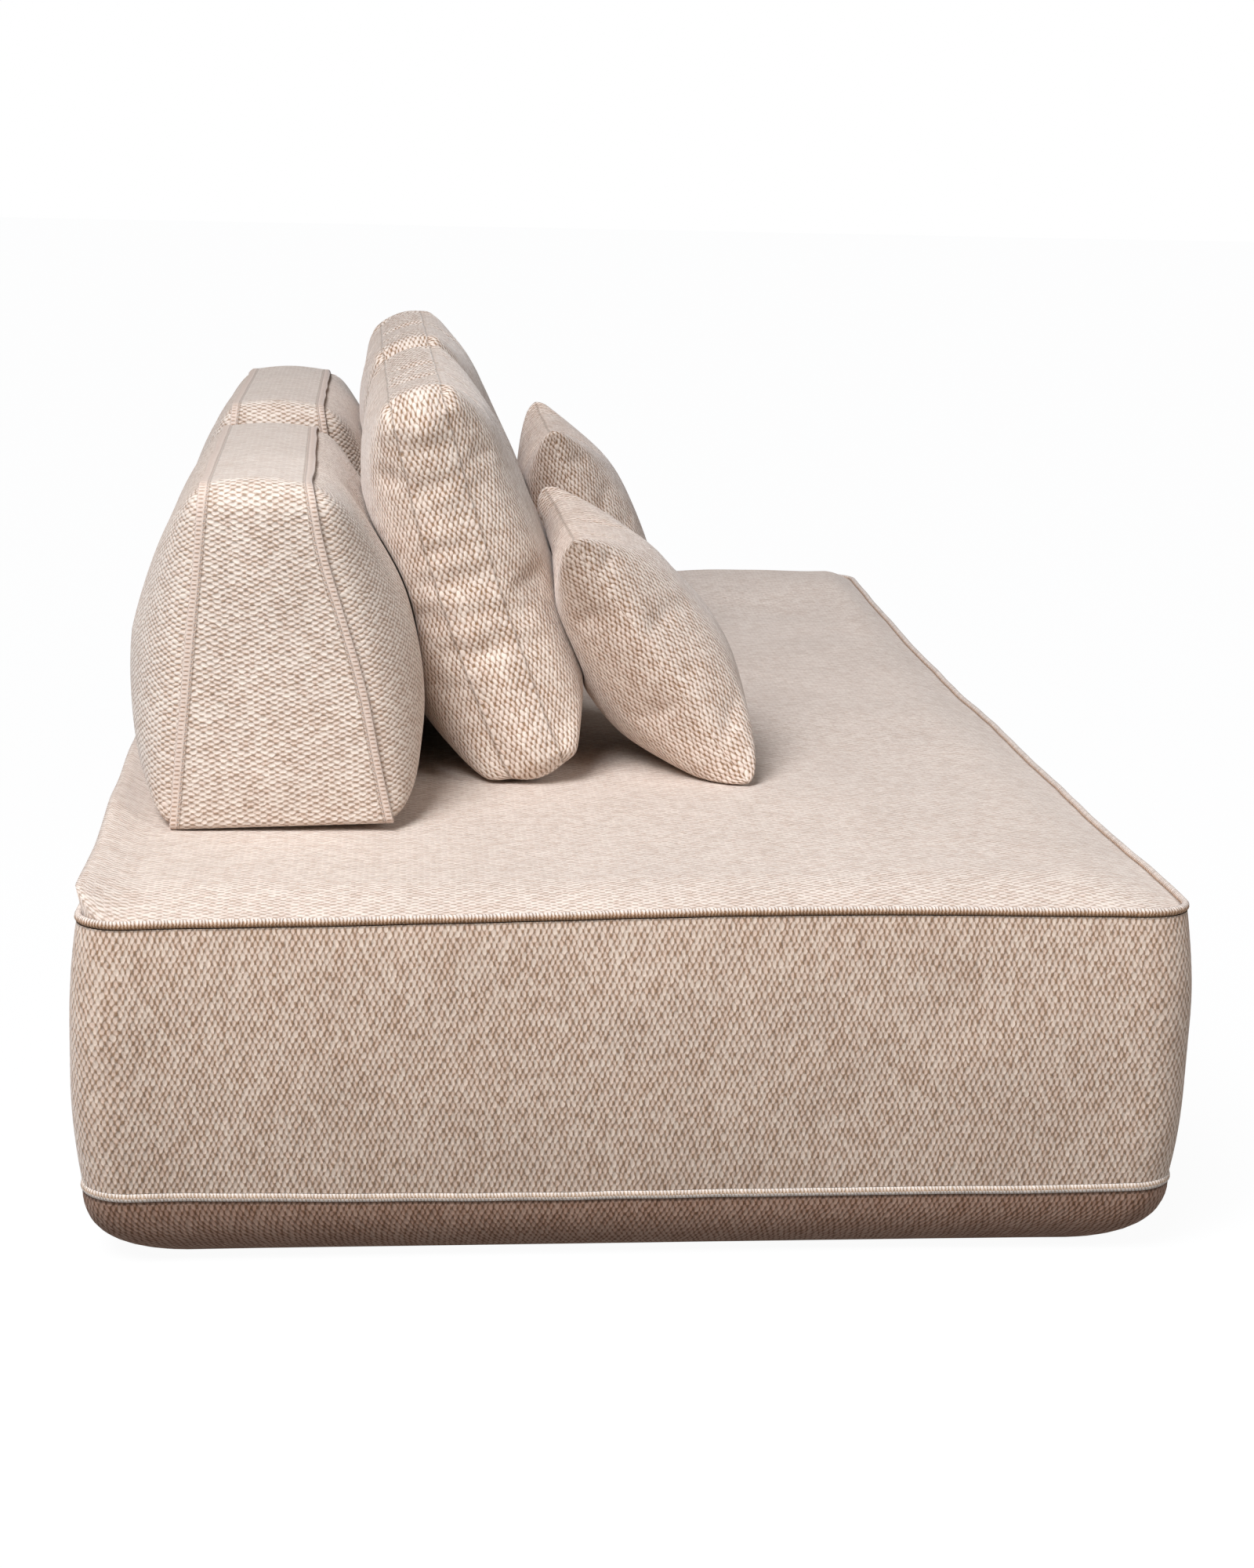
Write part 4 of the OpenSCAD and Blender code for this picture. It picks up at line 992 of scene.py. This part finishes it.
class SOFA_OT_back_cushions(bpy.types.Operator):
    """Sews and fills the two boxed back cushions"""
    bl_idname = "sofa.back_cushions"
    bl_label = "Back cushions"

    # Folds over the outer end: place up the cushion and across it, reach and depth
    folds = ((0.055, 0.004, 0.045, 0.0065), (0.022, -0.012, 0.040, 0.0045), (-0.030, 0.008, 0.050, 0.0045),
             (-0.085, 0.012, 0.045, 0.0040), (0.105, -0.006, 0.035, 0.0035), (0.190, 0.0, 0.035, 0.0045))

    def execute(self, context):
        own = context.scene.sofa_cushion
        # Painted light: this copy is made lighter for the light on the cushions' ends and tops
        weave = chunky_weave(
            "cushion weave", warm=0.6, shade=(1.11, 1.13, 1.14), contrast=1.05, relief=1.1, seam=0.0016,
            seam_depth_and_shade=0.45, sheen=0.5)
        for seed, side in enumerate(SIDES):
            name = "cushion_" + side
            low, high = reach(name + "_boxing")
            outer = -1 if side == "right" else 1

            # A leaning cushion's height and thickness come from how high and how deep it stands
            leaning = [[math.cos(own.lean), math.sin(own.lean)], [math.sin(own.lean), math.cos(own.lean)]]
            tall, thick = np.linalg.solve(leaning, [high[2] - low[2], high[1] - low[1]])
            half, boxing = np.array([(high[0] - low[0]) / 2, tall / 2]), thick / 2
            cover = Cover()
            loop = stuffed_panels(
                cover, half, radii=(own.corner, own.foot), draw=own.draw, depth=boxing,
                crowns=(own.crown * 0.94, own.crown * 1.02), turn=0.46, sags=(own.sag, 2 * own.sag), step=0.0105,
                seed=40 + 4 * seed)
            self.box_in(cover, loop, half, boxing, outer)
            piece = cover.build(name)
            on_seam = np.abs(np.abs(points_of(piece)[:, 1]) - boxing) < 1e-4
            found = self.creased(filled(piece, np.where(on_seam, 0.35, 0.02)), half, outer)
            found[:, 1] += own.bend * (1 - (found[:, 2] / half[1]) ** 2)
            if side == "right":
                found[:, 2] -= own.slump * rise(found[:, 2], -half[1], half[1]) * (1 - 0.3 * found[:, 0] / half[0])
            found = leant(found, (low + high) / 2, own.lean, 0)

            # Its inner end keeps clear of the other backrest, which can slide past it
            found[:, 0] = outer * np.maximum(outer * found[:, 0], min(abs(low[0]), abs(high[0])))
            move_points(piece, kept_clear(found, *(bpy.data.objects[f"backrest_{s}_front_cover"] for s in SIDES)))
            smooth_over(piece)
            dressed(piece, weave, "cushion_fabric", name,
                    *(f"{name}_{part}" for part in ("front_panel", "rear_panel", "boxing", "filling")), fill=0.7)
        return {"FINISHED"}

    @staticmethod
    def box_in(cover, loop, half, boxing, outer):
        """Adds the strip between the panels, which swells most at the outer end."""
        own = bpy.context.scene.sofa_cushion
        least = 0.005
        swell = least + (own.end - least) * rise(loop[:, 0] * outer, half[0] - 0.04, half[0] - 0.012)
        swell = swell * (1 - 0.5 * rise(np.abs(loop[:, 1]), half[1] - 0.05, half[1]))
        out = outward(loop)
        depths = np.linspace(-boxing, boxing, 8)
        rows = []
        for depth in depths:
            pushed = loop + out * (swell * math.cos(depth / boxing * math.pi / 2))[:, None]
            rows.append(np.stack([pushed[:, 0], np.full(len(loop), depth), pushed[:, 1]], -1))
        along = run_along(rows[0])[None]
        cover.grid(np.array(rows), paired(depths[:, None], along), paired((boxing - np.abs(depths))[:, None], along),
                   flip=True)

    @classmethod
    def creased(cls, points, half, outer):
        """Presses the folds into the outer end, each with a swelling above it."""
        at_end = rise(points[:, 0] * outer, half[0] - 0.05, half[0])
        dent = np.zeros(len(points))
        for up, across, wide, deep in cls.folds:
            lower = points[:, 2] - up - 0.12 * (points[:, 1] - across)
            dent += deep * (bell(lower, 0.008) - 0.5 * bell(lower - 0.019, 0.010)) * bell(points[:, 1] - across, wide)
        points[:, 0] -= outer * dent * at_end
        return points


class SOFA_OT_scatter_cushions(bpy.types.Operator):
    """Sews and fills the two scatter cushions"""
    bl_idname = "sofa.scatter_cushions"
    bl_label = "Scatter cushions"

    def execute(self, context):
        own = context.scene.sofa_scatter
        # Painted light: this copy is made lighter for the light on the scatter cushions
        weave = chunky_weave(
            "scatter weave", warm=0.65, shade=(1.11, 1.12, 1.13), contrast=1.05, relief=1.1, seam=0.0015,
            seam_depth_and_shade=0.4, sheen=0.4)
        for seed, side in enumerate(SIDES):
            name = "scatter_" + side
            lean, roll = (own.right_lean, own.right_roll) if side == "right" else (own.left_lean, own.left_roll)
            cover = Cover()
            stuffed_panels(
                cover, np.array([own.half, own.half]), radii=(own.tip, own.tip), draw=own.draw, depth=0,
                crowns=(own.crown * 0.9, own.crown * 1.12), turn=0.6, sags=(own.sag, own.sag), step=0.0095,
                seed=50 + 4 * seed)
            piece = cover.build(name)
            on_seam = np.abs(points_of(piece)[:, 1]) < 1e-6
            found = filled(piece, np.where(on_seam, 0.5, 0.02))
            lowest = rise(-found[:, 2], 0.5 * own.half, 0.95 * own.half)
            found[:, 2] -= own.drape * lowest * np.cos(np.clip(found[:, 0] / own.half, -1, 1) * math.pi / 2)
            found = leant(found, middle_of(name + "_front_cover", name + "_rear_cover"), lean, roll)
            up = (found[:, 2] - found[:, 2].min()) / np.ptp(found[:, 2])
            found[:, 1] += own.settle * (0.75 + 0.25 * rise(up, 0.03, 0.45))
            move_points(piece, kept_clear(found, *(bpy.data.objects["cushion_" + s] for s in SIDES)))
            smooth_over(piece)
            dressed(piece, weave, "scatter_fabric", name,
                    *(f"{name}_{part}" for part in ("front_cover", "rear_cover", "insert")), fill=0.7)
        return {"FINISHED"}


# Frame, fittings and zips

class SOFA_OT_fittings(bpy.types.Operator):
    """Gives the frame, webbing, glides, weights and zips their finishes"""
    bl_idname = "sofa.fittings"
    bl_label = "Frame and fittings"

    def execute(self, context):
        finishes = {
            "rail": plywood("plywood"),
            "webbing": strap_weave("webbing", (0.05, 0.045, 0.04), (0.16, 0.14, 0.12)),
            "dust_cloth": strap_weave("dust cloth", (0.02, 0.018, 0.017), (0.05, 0.047, 0.045)),
            "zip_tape": strap_weave("zip tape", (0.38, 0.29, 0.21), (0.56, 0.46, 0.37)),
            "glide": moulded("glide plastic", (0.03, 0.03, 0.03), 0.5),
            "screw": moulded("plated screw", (0.62, 0.62, 0.6), 0.3, Metallic=1.0),
            "weight": moulded("painted weight", (0.2, 0.2, 0.21), 0.55),
            "grip": moulded("grip mat rubber", (0.05, 0.045, 0.04), 0.8, 0.002, 0.0006),
            "slider": moulded("zip slider brass", (0.30, 0.21, 0.11), 0.5, Metallic=1.0),
        }
        endings = {"slider": "slider", "zip": "zip_tape"}
        for name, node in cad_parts.items():
            if node.hide_render:
                continue
            ending = endings.get(name.split("_")[-1])
            held = [part for part in ("screw", "glide", "webbing", "dust_cloth", "weight", "grip") if part in name]
            node.data.materials.clear()
            node.data.materials.append(finishes[ending or (held or ["rail"])[0]])
        return {"FINISHED"}


# The stage

WHITE = (1, 1, 1, 1)
FLOOR_REACH = 30.0

# Name, kind, setting that holds its strength, place, aim and the rest of each lamp
LAMPS = (
    ("front_box", "AREA", "front", (-2.2, -2.2, 1.9), (1.5, 2.2, -1.4), {"shape": "DISK", "size": 1.6}),
    ("sun", "SUN", "sun", (-2, 1, 3), (0.44, -0.34, -0.81), {"angle": math.radians(30), "color": (0.97, 1.0, 1.07)}),
    ("soft_box", "AREA", "box", (-2.5, 1.2, 2.4), (1.6, -1.1, -1.9), {"shape": "DISK", "size": 1.2}),
)


def seen_directly(paint):
    """1 for what the camera sees, straight, mirrored or through glass, and 0 for the light that is thrown."""
    rays = paint.node("ShaderNodeLightPath", output=None)
    seen, mirrored, through = (Wire(paint, rays.outputs[f"Is {kind} Ray"])
                               for kind in ("Camera", "Glossy", "Transmission"))
    return seen.maths("MAXIMUM", mirrored).maths("MAXIMUM", through)


class SOFA_OT_stage(bpy.types.Operator):
    """Sets the floor, the lights and the camera"""
    bl_idname = "sofa.stage"
    bl_label = "Stage"

    def execute(self, context):
        stage = context.scene.sofa_stage
        self.lay_floor(context.scene, stage)
        self.light(context.scene, stage)
        self.place_camera(context.scene, stage)
        context.scene.view_settings.view_transform = "Standard"
        return {"FINISHED"}

    @staticmethod
    def lay_floor(scene, stage):
        """A floor that takes soft shadows and is nearly white to the camera."""
        mesh = bpy.data.meshes.new("floor")
        corners = [(x * FLOOR_REACH, y * FLOOR_REACH, 0) for x, y in ((-1, -1), (1, -1), (1, 1), (-1, 1))]
        mesh.from_pydata(corners, [], [(0, 1, 2, 3)])
        floor = bpy.data.objects.new("floor", mesh)
        scene.collection.objects.link(floor)
        paint = Paint("floor")
        lit = paint.node("ShaderNodeBsdfDiffuse", {}, {"Color": (*stage.floor, 1)})
        pale = paint.node("ShaderNodeBsdfDiffuse", {}, {"Color": (0.95, 0.95, 0.95, 1)})
        white = paint.node("ShaderNodeEmission", {}, {"Color": WHITE, "Strength": 1.0})
        bright = paint.node("ShaderNodeMixShader", {}, {0: 0.95, 1: pale, 2: white})
        both = paint.node("ShaderNodeMixShader", {}, {0: seen_directly(paint), 1: lit, 2: bright})
        paint.node("ShaderNodeOutputMaterial", {}, {0: both}, None)
        mesh.materials.append(paint.made)

    @staticmethod
    def light(scene, stage):
        """A white surround that gives little light itself, and the lamps."""
        paint = Paint("studio", bpy.data.worlds)
        glow = paint.node("ShaderNodeBackground", {}, {"Color": WHITE, "Strength": stage.fill})
        seen = paint.node("ShaderNodeBackground", {}, {"Color": WHITE, "Strength": 1.0})
        both = paint.node("ShaderNodeMixShader", {}, {0: seen_directly(paint), 1: glow, 2: seen})
        paint.node("ShaderNodeOutputWorld", {}, {0: both}, None)
        scene.world = paint.made
        for name, kind, strength, place, aim, settings in LAMPS:
            light = bpy.data.lights.new(name, kind)
            light.energy = getattr(stage, strength)
            for key, value in settings.items():
                setattr(light, key, value)
            lamp = bpy.data.objects.new(name, light)
            lamp.location = place
            lamp.rotation_mode = "QUATERNION"
            lamp.rotation_quaternion = Vector(aim).to_track_quat("-Z", "Y")
            scene.collection.objects.link(lamp)

    @staticmethod
    def place_camera(scene, stage):
        camera = bpy.data.objects.new("camera", bpy.data.cameras.new("camera"))
        scene.collection.objects.link(camera)
        camera.data.sensor_width = 36
        camera.data.lens = stage.lens
        turn, tilt, roll = stage.camera_turn, stage.camera_tilt, stage.camera_roll
        ahead = Vector((math.cos(tilt) * math.cos(turn), -math.cos(tilt) * math.sin(turn), -math.sin(tilt)))
        across = ahead.cross(Vector((0, 0, 1))).normalized()
        up = across.cross(ahead)
        rolled = across * math.cos(roll) + up * math.sin(roll)
        upright = up * math.cos(roll) - across * math.sin(roll)
        axes = Matrix((rolled, upright, -ahead)).transposed().to_4x4()
        camera.matrix_world = Matrix.Translation(stage.camera_place) @ axes
        scene.camera = camera


class SOFA_PT_panel(bpy.types.Panel):
    """Lists the pieces of the sofa"""
    bl_idname = "SOFA_PT_panel"
    bl_label = "Sofa"
    bl_space_type = "VIEW_3D"
    bl_region_type = "UI"
    bl_category = "Sofa"

    def draw(self, context):
        for group in SETTINGS:
            box = self.layout.box()
            for name in SETTINGS[group].__annotations__:
                box.prop(getattr(context.scene, group), name)
        for piece in PIECES:
            self.layout.operator(piece.bl_idname)


SETTINGS = {
    "sofa_base": SofaBaseSettings,
    "sofa_backrest": SofaBackrestSettings,
    "sofa_cushion": SofaCushionSettings,
    "sofa_scatter": SofaScatterSettings,
    "sofa_fabric": SofaFabricSettings,
    "sofa_stage": SofaStageSettings,
}
PIECES = (
    SOFA_OT_seat_cover, SOFA_OT_side_covers, SOFA_OT_cords, SOFA_OT_backrests,
    SOFA_OT_back_cushions, SOFA_OT_scatter_cushions, SOFA_OT_fittings, SOFA_OT_stage,
)


def register():
    for made in (*SETTINGS.values(), *PIECES, SOFA_PT_panel):
        bpy.utils.register_class(made)
    for group, settings in SETTINGS.items():
        setattr(bpy.types.Scene, group, PointerProperty(type=settings))


def unregister():
    for group in SETTINGS:
        delattr(bpy.types.Scene, group)
    for made in reversed((*SETTINGS.values(), *PIECES, SOFA_PT_panel)):
        bpy.utils.unregister_class(made)


def main():
    register()
    bpy.ops.sofa.seat_cover()
    bpy.ops.sofa.side_covers()
    bpy.ops.sofa.cords()
    bpy.ops.sofa.backrests()
    bpy.ops.sofa.back_cushions()
    bpy.ops.sofa.scatter_cushions()
    bpy.ops.sofa.fittings()
    bpy.ops.sofa.stage()


if __name__ == "__main__":
    main()
